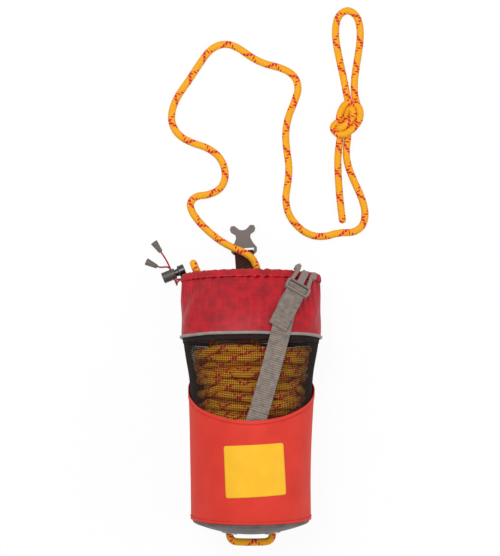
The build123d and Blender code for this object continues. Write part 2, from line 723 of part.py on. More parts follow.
# ---- Plug buckle on the strap -----------------------------------------------
WINDOW_WIDTH = WEB_WIDTH + 1.0
LEDGE = 3.0
buckle_flat = Plane(origin=bar_point, x_dir=buckle_across, z_dir=buckle_out)
with BuildPart() as buckle_male:
    with BuildSketch(buckle_flat.offset(-FRAME_UNDER)):
        with Locations((0, (FRAME_FRONT - FRAME_BACK) / 2)):
            RectangleRounded(BUCKLE_WIDTH, FRAME_FRONT + FRAME_BACK, 5)
    extrude(amount=FRAME_UNDER + FRAME_OVER)
    with BuildSketch(buckle_flat.offset(-FRAME_UNDER)):
        with Locations((0, (FRAME_FRONT - 2.2 - FRAME_BACK + LEDGE) / 2)):
            Rectangle(WINDOW_WIDTH, FRAME_FRONT - 2.2 + FRAME_BACK - LEDGE)
    extrude(amount=FRAME_UNDER + FRAME_OVER, mode=Mode.SUBTRACT)
    with BuildSketch(buckle_flat.offset(-FRAME_UNDER)):
        with Locations((0, -FRAME_BACK + LEDGE / 2 - 1)):
            Rectangle(WINDOW_WIDTH, LEDGE + 2)
    extrude(amount=FRAME_UNDER + 0.3, mode=Mode.SUBTRACT)
    with BuildSketch(Plane(origin=bar_point, x_dir=buckle_along, z_dir=buckle_across)):
        Circle(BAR_D / 2)
    extrude(amount=WINDOW_WIDTH / 2 + 1, both=True)
    with BuildSketch(buckle_flat.offset(-ARM_HEIGHT / 2)):
        with Locations((0, (FRAME_FRONT - 1 + GUIDE_REACH) / 2)):
            RectangleRounded(GUIDE_WIDTH, GUIDE_REACH - FRAME_FRONT + 1, 2)
        for side in (-1, 1):
            with BuildLine():
                root = side * (BUCKLE_WIDTH / 2 - 5)
                Polyline(
                    (root - side * ARM_WIDTH / 2, FRAME_FRONT - 1),
                    (root - side * (ARM_WIDTH / 2 + 2.2), PRONG_REACH - 9),
                    (root - side * (ARM_WIDTH / 2 + 1.2), PRONG_REACH - 2),
                    (root + side * 0.4, PRONG_REACH),
                    (root + side * 4.2, PRONG_REACH - 6),
                    (root + side * 4.2, PRONG_REACH - 11),
                    (root + side * (ARM_WIDTH / 2 - 1.4), PRONG_REACH - 12.5),
                    (root + side * (ARM_WIDTH / 2 + 0.8), FRAME_FRONT - 1),
                    close=True,
                )
            make_face()
    extrude(amount=ARM_HEIGHT)
buckle_male.part.label = "buckle_male"
export_step(buckle_male.part, "parts/buckle_male.step")

# ---- Socket buckle and its tab ----------------------------------------------
socket_turn = radians(SOCKET_TURN)
socket_across = Vector(cos(socket_turn), sin(socket_turn), 0)
socket_along = Vector(-sin(socket_turn), cos(socket_turn), 0)
BAR_Z = SOCKET_LIFT + SOCKET_HEIGHT / 2
socket_bar = Vector(SOCKET_X, SOCKET_Y, BAR_Z)
socket_flat = Plane(origin=socket_bar, x_dir=socket_across, z_dir=(0, 0, 1))
SOCKET_SIDE = [
    (0, -2.6),
    (13.5, -2.6),
    (17, 1),
    (17.3, 6.5),
    (12.5, 13),
    (9.6, 19.5),
    (10, 24),
    (15.5, 27.5),
    (17, 31.5),
    (15.5, 36),
    (10.5, 36.5),
    (4.5, 31),
    (0, 30),
]
SLOT_NEAR = SOCKET_BAR_D / 2 + 0.2
SLOT_FAR = SLOT_NEAR + 4
with BuildPart() as buckle_female:
    with BuildSketch(socket_flat.offset(-SOCKET_HEIGHT / 2)) as socket_outline:
        with BuildLine():
            Polyline(*SOCKET_SIDE)
            mirror(about=Plane.YZ)
        make_face()
        fillet(socket_outline.vertices().filter_by(lambda v: abs(v.X) > 1), 1.2)
    extrude(amount=SOCKET_HEIGHT)
    rims = buckle_female.faces().filter_by(Axis.Z)
    fillet(rims.edges(), 0.8)
    # Slot for the webbing, with the bar left at the very end.
    with BuildSketch(socket_flat):
        with Locations((0, (SLOT_NEAR + SLOT_FAR) / 2)):
            Rectangle(WEB_WIDTH + 1, SLOT_FAR - SLOT_NEAR)
    extrude(amount=SOCKET_HEIGHT, both=True, mode=Mode.SUBTRACT)
    # The end bar is round where the webbing turns round it.
    with BuildSketch(socket_flat):
        with Locations((0, SLOT_NEAR / 2 - 4)):
            Rectangle(WEB_WIDTH + 1, SLOT_NEAR + 8)
    extrude(amount=SOCKET_HEIGHT, both=True, mode=Mode.SUBTRACT)
    with BuildSketch(Plane(origin=socket_bar, x_dir=socket_along, z_dir=socket_across)):
        Circle(SOCKET_BAR_D / 2)
    extrude(amount=WEB_WIDTH / 2 + 1, both=True)
    # The socket itself, and the side windows where the plug's arms are pressed.
    with BuildSketch(socket_flat):
        with Locations((0, 8.5 + 15)):
            Rectangle(15.8, 30)
    extrude(amount=SOCKET_CAVITY / 2, both=True, mode=Mode.SUBTRACT)
    with BuildSketch(socket_flat):
        with Locations((0, 19.5)):
            Rectangle(40, 8.5)
    extrude(amount=SOCKET_CAVITY / 2, both=True, mode=Mode.SUBTRACT)
buckle_female.part.label = "buckle_female"
export_step(buckle_female.part, "parts/buckle_female.step")

tab_radius = SOCKET_BAR_D / 2 + WEB_PLAY + WEB_THICK / 2
tab_foot = 0.1 + WEB_THICK / 2 - BAR_Z
tab_points = [
    (-TAB_REACH, tab_foot),
    (-12, tab_foot),
    (-4, -tab_radius),
    (0, -tab_radius),
]
tab_return = [
    (0, tab_radius),
    (-4, tab_radius),
    (-20, tab_foot + WEB_THICK + 0.2),
    (-TAB_REACH, tab_foot + WEB_THICK + 0.1),
]
with BuildPart() as buckle_tab:
    with BuildSketch(Plane(origin=socket_bar, x_dir=socket_along, z_dir=socket_across)):
        with BuildLine():
            FilletPolyline(*tab_points, radius=4)
            CenterArc((0, 0), tab_radius, -90, 180)
            FilletPolyline(*tab_return, radius=4)
        trace(line_width=WEB_THICK)
    extrude(amount=WEB_WIDTH / 2, both=True)
buckle_tab.part.label = "buckle_tab"
export_step(buckle_tab.part, "parts/buckle_tab.step")

# ---- Cord lock: barrel, sprung plunger, and the cords through both ----------
lock_turn = radians(LOCK_HEADING)
lock_axis = Vector(cos(lock_turn), sin(lock_turn), 0)
lock_cross = Vector(-sin(lock_turn), cos(lock_turn), 0)
lock_point = Vector(LOCK_CORD_X, LOCK_CORD_Y, LOCK_Z)
lock_plane = Plane(origin=lock_point, x_dir=lock_cross, z_dir=lock_axis)
cross_plane = Plane(origin=lock_point, x_dir=lock_axis, z_dir=lock_cross)
with BuildPart() as cord_lock_body:
    with BuildSketch(lock_plane.offset(-LOCK_BACK)):
        Circle(LOCK_D / 2)
    extrude(amount=LOCK_BACK + LOCK_FRONT)
    fillet(cord_lock_body.edges().filter_by(GeomType.CIRCLE), 1)
    with BuildSketch(lock_plane.offset(-LOCK_BACK + LOCK_WALL)):
        Circle(LOCK_BORE / 2)
    extrude(amount=LOCK_BACK + LOCK_FRONT, mode=Mode.SUBTRACT)
    with BuildSketch(cross_plane):
        Rectangle(SLOT_LENGTH, SLOT_HEIGHT)
    extrude(amount=LOCK_D, both=True, mode=Mode.SUBTRACT)
cord_lock_body.part.label = "cord_lock_body"
export_step(cord_lock_body.part, "parts/cord_lock_body.step")

# The plunger's slot is longer than the barrel's by its travel, so that the
# cords stay in it both pinched and released.
stem_foot = -SLOT_LENGTH / 2 - 3.2
cap_foot = LOCK_FRONT + LOCK_TRAVEL + 0.3
with BuildPart() as cord_lock_plunger:
    with BuildSketch(lock_plane.offset(stem_foot)):
        Circle(LOCK_STEM / 2)
    extrude(amount=cap_foot - stem_foot)
    with BuildSketch(lock_plane.offset(cap_foot)):
        Circle(CAP_D / 2)
    extrude(amount=CAP_LENGTH)
    cap_edges = cord_lock_plunger.edges().filter_by(GeomType.CIRCLE)
    fillet(cap_edges.filter_by(lambda e: e.radius > LOCK_STEM / 2 + 0.1), 1.2)
    with BuildSketch(cross_plane):
        with Locations(((LOCK_TRAVEL + 0.4) / 2, 0)):
            Rectangle(SLOT_LENGTH + LOCK_TRAVEL + 0.4, SLOT_HEIGHT)
    extrude(amount=LOCK_D, both=True, mode=Mode.SUBTRACT)
cord_lock_plunger.part.label = "cord_lock_plunger"
export_step(cord_lock_plunger.part, "parts/cord_lock_plunger.step")

spring_foot = -LOCK_BACK + LOCK_WALL + SPRING_WIRE / 2 + 0.02
spring_length = stem_foot - SPRING_WIRE / 2 - 0.02 - spring_foot
with BuildPart() as cord_lock_spring:
    with BuildLine() as coil:
        Helix(
            pitch=spring_length / SPRING_TURNS,
            height=spring_length,
            radius=SPRING_RADIUS,
            center=lock_point + lock_axis * spring_foot,
            direction=lock_axis,
        )
    with BuildSketch(Plane(origin=coil.line @ 0, z_dir=coil.line % 0)):
        Circle(SPRING_WIRE / 2)
    sweep(path=coil.line, is_frenet=True)
cord_lock_spring.part.label = "cord_lock_spring"
export_step(cord_lock_spring.part, "parts/cord_lock_spring.step")


def beside_lock(distance, lift):
    """A point on the line of the lock's slot."""
    return tuple(lock_point + lock_cross * distance + Vector(0, 0, lift))


# Tapered ends: the point of the narrow end, and where the wide end lies.
UPPER_TIP = Vector(-119.5, 198, 5.2)
UPPER_TIP_END = Vector(-129.6, 212, 5.2)
LOWER_TIP = Vector(-124.5, 178.6, 5.2)
LOWER_TIP_END = Vector(-138.9, 185.4, 5.2)
CORD_HOLE_DEPTH = 6
upper_inward = (UPPER_TIP_END - UPPER_TIP).normalized()
lower_inward = (LOWER_TIP_END - LOWER_TIP).normalized()
CORD_START_X = HEM_LEFT_X + CHANNEL_WALL + 0.1
upper_cord_route = [
    (CORD_START_X, CORD_RING_Y, RING_Z + CORD_SPREAD),
    (HEM_LEFT_X - 4.5, CORD_RING_Y + 0.6, RING_Z),
    beside_lock(-11.5, 10),
    beside_lock(-11.5, CORD_SPREAD),
    beside_lock(10, CORD_SPREAD),
    (-112.5, 187.5, 7.4),
    tuple(UPPER_TIP - upper_inward * 3),
    tuple(UPPER_TIP + upper_inward * CORD_HOLE_DEPTH + Vector(0, 0, 0.1)),
]
lower_cord_route = [
    (CORD_START_X, CORD_RING_Y, RING_Z - CORD_SPREAD),
    (HEM_LEFT_X - 3.5, CORD_RING_Y - 2.5, RING_Z - 4),
    beside_lock(-15, 8),
    beside_lock(-15, -CORD_SPREAD),
    beside_lock(10, -CORD_SPREAD),
    (-113, 178.5, 6),
    tuple(LOWER_TIP - lower_inward * 3),
    tuple(LOWER_TIP + lower_inward * CORD_HOLE_DEPTH + Vector(0, 0, 0.1)),
]
with BuildPart() as drawcord_upper:
    add(cord_tube(upper_cord_route, CORD_D, "drawcord_upper"))
drawcord_upper.part.label = "drawcord_upper"
export_step(drawcord_upper.part, "parts/drawcord_upper.step")

with BuildPart() as drawcord_lower:
    add(cord_tube(lower_cord_route, CORD_D, "drawcord_lower"))
drawcord_lower.part.label = "drawcord_lower"
export_step(drawcord_lower.part, "parts/drawcord_lower.step")


def cord_tip(point, inward):
    """A tapered moulded end with a blind hole for the cord."""
    plane = Plane(origin=point, z_dir=inward)
    with BuildPart() as tip:
        with BuildSketch(plane):
            Circle(TIP_NARROW / 2)
        with BuildSketch(plane.offset(TIP_LENGTH)):
            Circle(TIP_WIDE / 2)
        loft()
        fillet(tip.edges().filter_by(GeomType.CIRCLE), 1)
        with BuildSketch(plane):
            Circle(CORD_D / 2 + 0.1)
        extrude(amount=CORD_HOLE_DEPTH + 0.5, mode=Mode.SUBTRACT)
    return tip.part


with BuildPart() as cord_tip_upper:
    add(cord_tip(UPPER_TIP, upper_inward))
cord_tip_upper.part.label = "cord_tip_upper"
export_step(cord_tip_upper.part, "parts/cord_tip_upper.step")

with BuildPart() as cord_tip_lower:
    add(cord_tip(LOWER_TIP, lower_inward))
cord_tip_lower.part.label = "cord_tip_lower"
export_step(cord_tip_lower.part, "parts/cord_tip_lower.step")

strap_start, strap_rise = strap_points[0]
print("strap hinge", strap_root_point + strap_along * strap_start + strap_out * strap_rise)
print("bar point", bar_point, "strap root", strap_root_point)
print("strap axis", strap_across, "buckle axis", buckle_across)
print("socket bar", socket_bar, socket_across, "lock", lock_point, lock_axis)
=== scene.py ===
# %% [markdown]
# # A throw rope bag, stuffed and laid on its back
# A throw bag is a fabric tube full of floating rope. A rescuer holds the loose end
# and throws the bag, and the rope pays out through the mouth. It has a net window so
# that it drains, a drawcord throat, and a strap with a buckle over the front.
# The hard pieces come from the CAD frame and only get a finish. Cloth, net,
# webbing and rope are built here, because a CAD solid of them looks like a block.

# %% Load the frame
from math import atan2, cos, exp, hypot, pi, radians, sin, sqrt, tan
import bmesh
import bpy
import numpy as np
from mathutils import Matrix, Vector


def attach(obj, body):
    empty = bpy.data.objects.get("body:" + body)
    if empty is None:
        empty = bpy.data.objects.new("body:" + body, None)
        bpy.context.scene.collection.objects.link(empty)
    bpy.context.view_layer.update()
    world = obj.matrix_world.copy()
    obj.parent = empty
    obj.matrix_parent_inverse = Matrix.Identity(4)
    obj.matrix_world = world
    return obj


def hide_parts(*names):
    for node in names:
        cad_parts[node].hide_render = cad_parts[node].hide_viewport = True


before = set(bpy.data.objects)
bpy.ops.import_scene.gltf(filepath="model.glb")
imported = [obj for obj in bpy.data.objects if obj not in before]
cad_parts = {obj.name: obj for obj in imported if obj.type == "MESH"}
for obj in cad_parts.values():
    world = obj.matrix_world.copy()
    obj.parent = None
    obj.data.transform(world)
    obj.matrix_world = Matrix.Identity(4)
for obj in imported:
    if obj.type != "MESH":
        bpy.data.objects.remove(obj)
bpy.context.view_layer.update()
MM = 0.001

# %% [markdown]
# ## Camera
# The bag lies on a table and is seen from straight above. A long lens from 3 m keeps
# the far end of the rope and the high front of the bag at nearly one scale. A camera
# with no rotation already looks down -Z with +Y up, so it only needs a place.

# %% Put the camera above the bag
CAMERA_HEIGHT = 3.0
FRAME_HEIGHT = 0.7395
SENSOR_HEIGHT = 24.0
camera_data = bpy.data.cameras.new("camera")
camera_data.sensor_fit = "VERTICAL"
camera_data.sensor_height = SENSOR_HEIGHT
camera_data.lens = SENSOR_HEIGHT * CAMERA_HEIGHT / FRAME_HEIGHT
camera = bpy.data.objects.new("camera", camera_data)
camera.location = (-0.00133, 0.1636, CAMERA_HEIGHT)
bpy.context.scene.collection.objects.link(camera)
bpy.context.scene.camera = camera
print("lens in mm:", round(camera_data.lens, 1))

# %% [markdown]
# ## Colours
# Colours are written as they look on a screen, and turned into the linear numbers
# that shaders use. Keeping them in one place makes the family of reds and greys easy
# to balance.

# %% Name the colours
def linear(red, green, blue):
    """A screen colour, 0 to 255, as a linear colour with alpha."""
    parts = [c / 255 for c in (red, green, blue)]
    parts = [c / 12.92 if c < 0.04 else ((c + 0.055) / 1.055) ** 2.4 for c in parts]
    return (*parts, 1)


SLEEVE_ORANGE = linear(222, 60, 45)
SLEEVE_SHADE = linear(203, 48, 36)
COLLAR_RED = linear(190, 10, 30)
COLLAR_SHADE = linear(144, 4, 22)
ROPE_YELLOW = linear(246, 176, 28)
ROPE_SHADE = linear(228, 148, 18)
FLECK_RED = linear(204, 30, 44)
WEBBING_GREY = linear(150, 138, 129)
WEBBING_SHADE = linear(112, 101, 94)
# The tab's two colours are the grey webbing darkened and reddened: painted shade and a painted red
# reflection.
TAB_PAINTED_SHADE_BROWN = linear(84, 52, 42)
TAB_PAINTED_SHADE_DEEP = linear(62, 34, 26)
PIPING_GREY = linear(156, 147, 142)
PLASTIC_GREY = linear(98, 84, 80)
TIP_GREY = linear(100, 92, 84)
LOCK_GREY = linear(72, 64, 58)
CAP_BLACK = linear(24, 20, 17)
NET_BLACK = linear(26, 20, 18)
TAPE_BLACK = linear(30, 22, 20)
BASE_GREY = linear(112, 104, 101)
PATCH_YELLOW = linear(247, 192, 42)
CORD_RED = linear(176, 12, 30)
THREAD_RED = linear(150, 14, 26)
print("colours ready")

# %% [markdown]
# ## Effects shared by materials
# Woven cloth, ripstop, mottled dye, painted shade in the webbing's rib grooves and the
# rope's red flecks are each one node group with named inputs. A group gives out only a
# mask, a value or a colour, and the shader stays in the material. Cloth pieces carry a UV
# map in millimetres, so that a thread has its true size whatever the piece's shape.

# %% Helpers that build node groups
def start_group(name, inputs, outputs):
    """A new shader node group with float or vector sockets."""
    group = bpy.data.node_groups.new(name, "ShaderNodeTree")
    for socket, kind, value in inputs:
        made = group.interface.new_socket(socket, in_out="INPUT", socket_type=kind)
        if value is not None:
            made.default_value = value
    for socket, kind in outputs:
        group.interface.new_socket(socket, in_out="OUTPUT", socket_type=kind)
    return group, group.nodes.new("NodeGroupInput"), group.nodes.new("NodeGroupOutput")


def calc(tree, operation, first, second=None, third=None, clamp=False):
    """A Math node. Each value is a number or a socket."""
    node = tree.nodes.new("ShaderNodeMath")
    node.operation = operation
    node.use_clamp = clamp
    for socket, value in zip(node.inputs, (first, second, third)):
        if value is None:
            continue
        if isinstance(value, (int, float)):
            socket.default_value = value
        else:
            tree.links.new(value, socket)
    return node.outputs[0]


def split_vector(tree, socket):
    """The three parts of a vector socket."""
    node = tree.nodes.new("ShaderNodeSeparateXYZ")
    tree.links.new(socket, node.inputs[0])
    return node.outputs


def use_group(tree, group, place=None, **values):
    """A node that uses a group, with numbers for its inputs and a socket for its place."""
    node = tree.nodes.new("ShaderNodeGroup")
    node.node_tree = group
    for socket, value in values.items():
        node.inputs[socket].default_value = value
    if place:
        tree.links.new(place, node.inputs["Place"])
    return node


def mix_colours(tree, share, first, second, kind="MIX"):
    """The mix of two colours by a share; the first may be a colour or a socket."""
    node = tree.nodes.new("ShaderNodeMix")
    node.data_type = "RGBA"
    node.blend_type = kind
    if isinstance(first, tuple):
        node.inputs["A"].default_value = first
    else:
        tree.links.new(first, node.inputs["A"])
    node.inputs["B"].default_value = second
    tree.links.new(share, node.inputs["Factor"])
    return node.outputs["Result"]


def map_in_mm(tree):
    """The socket of the UV map that cloth and rope pieces carry, in millimetres."""
    node = tree.nodes.new("ShaderNodeUVMap")
    node.uv_map = "mm"
    return node.outputs[0]


print("group helpers ready")

# %% Weave: crossing threads that rise and fall
weave_group, given, made = start_group(
    "woven_threads",
    [("Place", "NodeSocketVector", None), ("Thread", "NodeSocketFloat", 1.0),
     ("Ribs", "NodeSocketFloat", 1.0)],
    [("Height", "NodeSocketFloat")],
)
across, along, _ = split_vector(weave_group, given.outputs["Place"])
turn = calc(weave_group, "DIVIDE", pi, given.outputs["Thread"])
wave_across = calc(weave_group, "SINE", calc(weave_group, "MULTIPLY", across, turn))
along = calc(weave_group, "MULTIPLY", along, given.outputs["Ribs"])
wave_along = calc(weave_group, "SINE", calc(weave_group, "MULTIPLY", along, turn))
crossing = calc(weave_group, "MULTIPLY", wave_across, wave_along)
weave_group.links.new(calc(weave_group, "MULTIPLY_ADD", crossing, 0.5, 0.5), made.inputs["Height"])
print("made", weave_group.name)

# %% Ripstop: a square grid of heavier threads
ripstop_group, given, made = start_group(
    "ripstop_grid",
    [("Place", "NodeSocketVector", None), ("Cell", "NodeSocketFloat", 5.0),
     ("Line", "NodeSocketFloat", 0.1)],
    [("Mask", "NodeSocketFloat")],
)
lines = []
for part in split_vector(ripstop_group, given.outputs["Place"])[:2]:
    cell = calc(ripstop_group, "FRACT", calc(ripstop_group, "DIVIDE", part, given.outputs["Cell"]))
    off = calc(ripstop_group, "ABSOLUTE", calc(ripstop_group, "SUBTRACT", cell, 0.5))
    lines.append(calc(ripstop_group, "LESS_THAN", off, given.outputs["Line"]))
ripstop_group.links.new(calc(ripstop_group, "MAXIMUM", *lines), made.inputs["Mask"])
print("made", ripstop_group.name)

# %% Mottle: soft uneven dye, dust and handling
mottle_group, given, made = start_group(
    "mottled_dye",
    [("Size", "NodeSocketFloat", 0.02), ("Amount", "NodeSocketFloat", 1.0)],
    [("Mask", "NodeSocketFloat")],
)
place = mottle_group.nodes.new("ShaderNodeTexCoord")
noise = mottle_group.nodes.new("ShaderNodeTexNoise")
noise.inputs["Detail"].default_value = 4
mottle_group.links.new(place.outputs["Object"], noise.inputs["Vector"])
mottle_group.links.new(
    calc(mottle_group, "DIVIDE", 1.0, given.outputs["Size"]), noise.inputs["Scale"]
)
spread = calc(mottle_group, "SUBTRACT", noise.outputs["Fac"], 0.5)
spread = calc(mottle_group, "MULTIPLY", spread, given.outputs["Amount"])
spread = calc(mottle_group, "ADD", spread, 0.5, clamp=True)
mottle_group.links.new(spread, made.inputs["Mask"])
print("made", mottle_group.name)

# %% Ribs: painted shade in the grooves across webbing
RIB_PITCH = 2.9
rib_groove_shade_group, given, made = start_group(
    "webbing_rib_groove_shade",
    [("Place", "NodeSocketVector", None), ("Pitch", "NodeSocketFloat", RIB_PITCH)],
    [("GrooveShade", "NodeSocketFloat")],
)
_, along_web, _ = split_vector(rib_groove_shade_group, given.outputs["Place"])
turns_done = calc(rib_groove_shade_group, "DIVIDE", along_web, given.outputs["Pitch"])
crest = calc(rib_groove_shade_group, "SINE", calc(rib_groove_shade_group, "MULTIPLY", turns_done, pi))
crest = calc(rib_groove_shade_group, "ABSOLUTE", crest)
# Painted shade: the mask is 1 in the narrow grooves between ribs, where shade would fall.
groove_shade = calc(rib_groove_shade_group, "SUBTRACT", 1.0, calc(rib_groove_shade_group, "MULTIPLY", crest, 1.5), clamp=True)
rib_groove_shade_group.links.new(groove_shade, made.inputs["GrooveShade"])
print("made", rib_groove_shade_group.name)

# %% Flecks: two red yarns that wind round the rope opposite ways
fleck_group, given, made = start_group(
    "tracer_flecks",
    [("Place", "NodeSocketVector", None), ("Pitch", "NodeSocketFloat", 34.0),
     ("Width", "NodeSocketFloat", 0.085), ("Stitch", "NodeSocketFloat", 4.0)],
    [("Mask", "NodeSocketFloat")],
)
round_rope, down_rope, _ = split_vector(fleck_group, given.outputs["Place"])
winds = calc(fleck_group, "DIVIDE", down_rope, given.outputs["Pitch"])
shown = []
for way, shift in (("ADD", 0.0), ("SUBTRACT", 0.3)):
    helix = calc(fleck_group, "ADD", calc(fleck_group, way, round_rope, winds), shift)
    near = calc(fleck_group, "SUBTRACT", calc(fleck_group, "FRACT", helix), 0.5)
    near = calc(fleck_group, "ABSOLUTE", near)
    on_yarn = calc(fleck_group, "LESS_THAN", near, given.outputs["Width"])
    step = calc(fleck_group, "DIVIDE", down_rope, given.outputs["Stitch"])
    step = calc(fleck_group, "FRACT", step)
    on_top = calc(fleck_group, "GREATER_THAN", calc(fleck_group, "ADD", step, shift), 0.5)
    shown.append(calc(fleck_group, "MULTIPLY", on_yarn, on_top))
fleck_group.links.new(calc(fleck_group, "MAXIMUM", *shown), made.inputs["Mask"])
print("made", fleck_group.name)

# %% [markdown]
# ## Materials
# One function lays out every finish the same way: two colours mixed by the mottle,
# a height for the weave, and a roughness. Cloth is nearly matt, the thin collar is
# smoother, and moulded plastic is satin.

# %% A function for every finish
def finish(name, colour, shade, roughness, thread=None, ribs=1.0, bump=0.3, depth=0.3,
           mottle=0.02, amount=2.0, gloss=0.22, metallic=0.0, cell=None, mapped=True, coat=0.0,
           lines=0.7):
    """A Principled material with mottled colour and, for cloth, a woven bump.

    thread, cell and mottle are sizes; ribs, lines and amount are strengths. A piece that
    has no UV map in millimetres is not mapped, and its threads follow its own axes.
    """
    material = bpy.data.materials.new(name)
    material.use_nodes = True
    tree = material.node_tree
    shader = tree.nodes["Principled BSDF"]
    shader.inputs["Roughness"].default_value = roughness
    shader.inputs["Metallic"].default_value = metallic
    shader.inputs["Specular IOR Level"].default_value = gloss
    shader.inputs["Coat Weight"].default_value = coat
    uneven = use_group(tree, mottle_group, Size=mottle, Amount=amount)
    dyed = mix_colours(tree, uneven.outputs["Mask"], shade, colour)
    relief = tree.nodes.new("ShaderNodeBump")
    relief.inputs["Strength"].default_value = bump
    relief.inputs["Distance"].default_value = depth * MM
    tree.links.new(relief.outputs["Normal"], shader.inputs["Normal"])
    height = uneven.outputs["Mask"]
    if thread:
        if mapped:
            where = map_in_mm(tree)
        else:
            place = tree.nodes.new("ShaderNodeTexCoord")
            scale = tree.nodes.new("ShaderNodeVectorMath")
            scale.operation = "SCALE"
            scale.inputs["Scale"].default_value = 1 / MM
            tree.links.new(place.outputs["Object"], scale.inputs[0])
            where = scale.outputs[0]
        threads = use_group(tree, weave_group, where, Thread=thread, Ribs=ribs)
        height = threads.outputs["Height"]
        if cell:
            grid = use_group(tree, ripstop_group, where, Cell=cell).outputs["Mask"]
            height = calc(tree, "ADD", height, grid)
            strength = calc(tree, "MULTIPLY", grid, lines)
            dyed = mix_colours(tree, strength, dyed, (0.75, 0.6, 0.6, 1), "MULTIPLY")
    tree.links.new(dyed, shader.inputs["Base Color"])
    tree.links.new(height, relief.inputs["Height"])
    return material


# %% Cloth finishes
sleeve_cloth = finish("orange_pack_cloth", SLEEVE_ORANGE, SLEEVE_SHADE, 0.62, thread=0.9, bump=0.5,
                      mottle=0.03, amount=1.6)
collar_cloth = finish("red_ripstop", COLLAR_RED, COLLAR_SHADE, 0.45, thread=0.5, bump=0.25,
                      depth=0.2, mottle=0.012, amount=2.4, gloss=0.3, cell=5.0, lines=0.35)
base_cloth = finish("coated_base_cloth", BASE_GREY, linear(84, 80, 78), 0.55, thread=1.2,
                    bump=0.35, mottle=0.015, amount=2.5, mapped=False)
tape_cloth = finish("black_grosgrain", TAPE_BLACK, linear(18, 13, 12), 0.8, thread=0.9, ribs=0.4)
net_yarn = finish("black_net_yarn", NET_BLACK, linear(40, 28, 24), 0.7, bump=0.2, mottle=0.004)
piping_cloth = finish("reflective_piping_cloth", PIPING_GREY, linear(128, 118, 112), 0.4,
                      thread=0.6, bump=0.3, mottle=0.01, amount=1.5)
patch_film = finish("yellow_print_film", PATCH_YELLOW, linear(238, 176, 34), 0.5, thread=0.9,
                    bump=0.35, mottle=0.02, amount=1.2)
webbing = finish("grey_webbing", WEBBING_GREY, WEBBING_SHADE, 0.7, thread=0.8, ribs=0.55, bump=0.5,
                 mottle=0.006, amount=2.0)
# This finish is the grey webbing with painted shade and a painted red reflection, for the buckle's
# tab.
webbing_with_painted_shade = finish("webbing_painted_shade_brown", TAB_PAINTED_SHADE_BROWN, TAB_PAINTED_SHADE_DEEP, 0.75, thread=0.8, ribs=0.55, bump=0.5,
                     mottle=0.006)
cord_braid = finish("red_cord_braid", CORD_RED, linear(140, 8, 24), 0.6, bump=0.5, depth=0.2,
                    mottle=0.0012, amount=2.5)
sewing_thread = finish("red_sewing_thread", THREAD_RED, linear(120, 10, 20), 0.6, bump=0.2,
                       mottle=0.002)
grey_thread = finish("grey_sewing_thread", linear(170, 160, 152), WEBBING_GREY, 0.6, bump=0.2,
                     mottle=0.002)
print("cloth finishes ready")

# %% Paint shade into the grooves between the webbing's ribs
def tint(material, share, colour, kind="MIX"):
    """Mixes one more colour over a finish."""
    tree = material.node_tree
    socket = tree.nodes["Principled BSDF"].inputs["Base Color"]
    under = socket.links[0].from_socket
    tree.links.new(mix_colours(tree, share, under, colour, kind), socket)


# This colour darkens the grooves between the webbing's ribs as painted shade.
GROOVE_PAINTED_SHADE = (0.42, 0.40, 0.38, 1)
for cloth in (webbing, webbing_with_painted_shade):
    tree = cloth.node_tree
    groove_shade_node = use_group(tree, rib_groove_shade_group, map_in_mm(tree))
    tint(cloth, groove_shade_node.outputs["GrooveShade"], GROOVE_PAINTED_SHADE, "MULTIPLY")
print("grooves darkened")

# %% Hard finishes
MOULDED = dict(bump=0.12, depth=0.15, mottle=0.002, amount=1.2, gloss=0.5)
buckle_plastic = finish("satin_grey_plastic", PLASTIC_GREY, linear(90, 78, 74), 0.38,
                        coat=0.1, **MOULDED)
strap_plastic = finish("satin_light_plastic", linear(132, 119, 112), linear(116, 103, 97), 0.4,
                       **MOULDED)
tip_plastic = finish("satin_tip_plastic", TIP_GREY, linear(88, 80, 72), 0.42, **MOULDED)
lock_plastic = finish("dark_lock_plastic", LOCK_GREY, linear(58, 50, 46), 0.4, **MOULDED)
cap_plastic = finish("gloss_black_plastic", CAP_BLACK, linear(16, 13, 11), 0.22, bump=0.08,
                     depth=0.1, mottle=0.003, amount=1.2, coat=0.3, gloss=0.5)
eyelet_metal = finish("dark_plated_metal", linear(150, 146, 142), linear(120, 116, 112), 0.35,
                      bump=0.1, depth=0.1, mottle=0.003, metallic=1.0, gloss=0.5)
spring_metal = finish("spring_wire", linear(190, 190, 192), linear(150, 150, 152), 0.3,
                      bump=0.05, depth=0.1, mottle=0.002, metallic=1.0, gloss=0.5)
foam = finish("closed_cell_foam", linear(70, 70, 72), linear(56, 56, 58), 0.9, bump=0.6,
              depth=0.4, mottle=0.0015, amount=3.0)
print("hard finishes ready")

# %% The rope's finish: yellow braid with red flecks
rope_braid = finish("flecked_rope_braid", ROPE_YELLOW, ROPE_SHADE, 0.58, bump=0.5, depth=0.35,
                    mottle=0.0022, amount=2.2)
tree = rope_braid.node_tree
flecks = use_group(tree, fleck_group, map_in_mm(tree))
tint(rope_braid, flecks.outputs["Mask"], FLECK_RED)
print("rope finish ready")

# %% [markdown]
# ## Placing a piece
# Every piece rides on a CAD body, takes a finish, and may stand for the CAD solid that
# it replaces, which is then hidden. One function does all of it, so nothing is forgotten.

# %% A function that puts a piece in the frame
def place_piece(piece, material, body, replaces=()):
    """Gives a piece its finish, hangs it on a body and hides the CAD solids it replaces."""
    piece.data.materials.clear()
    piece.data.materials.append(material)
    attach(piece, body)
    if replaces:
        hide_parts(*replaces)
    return piece


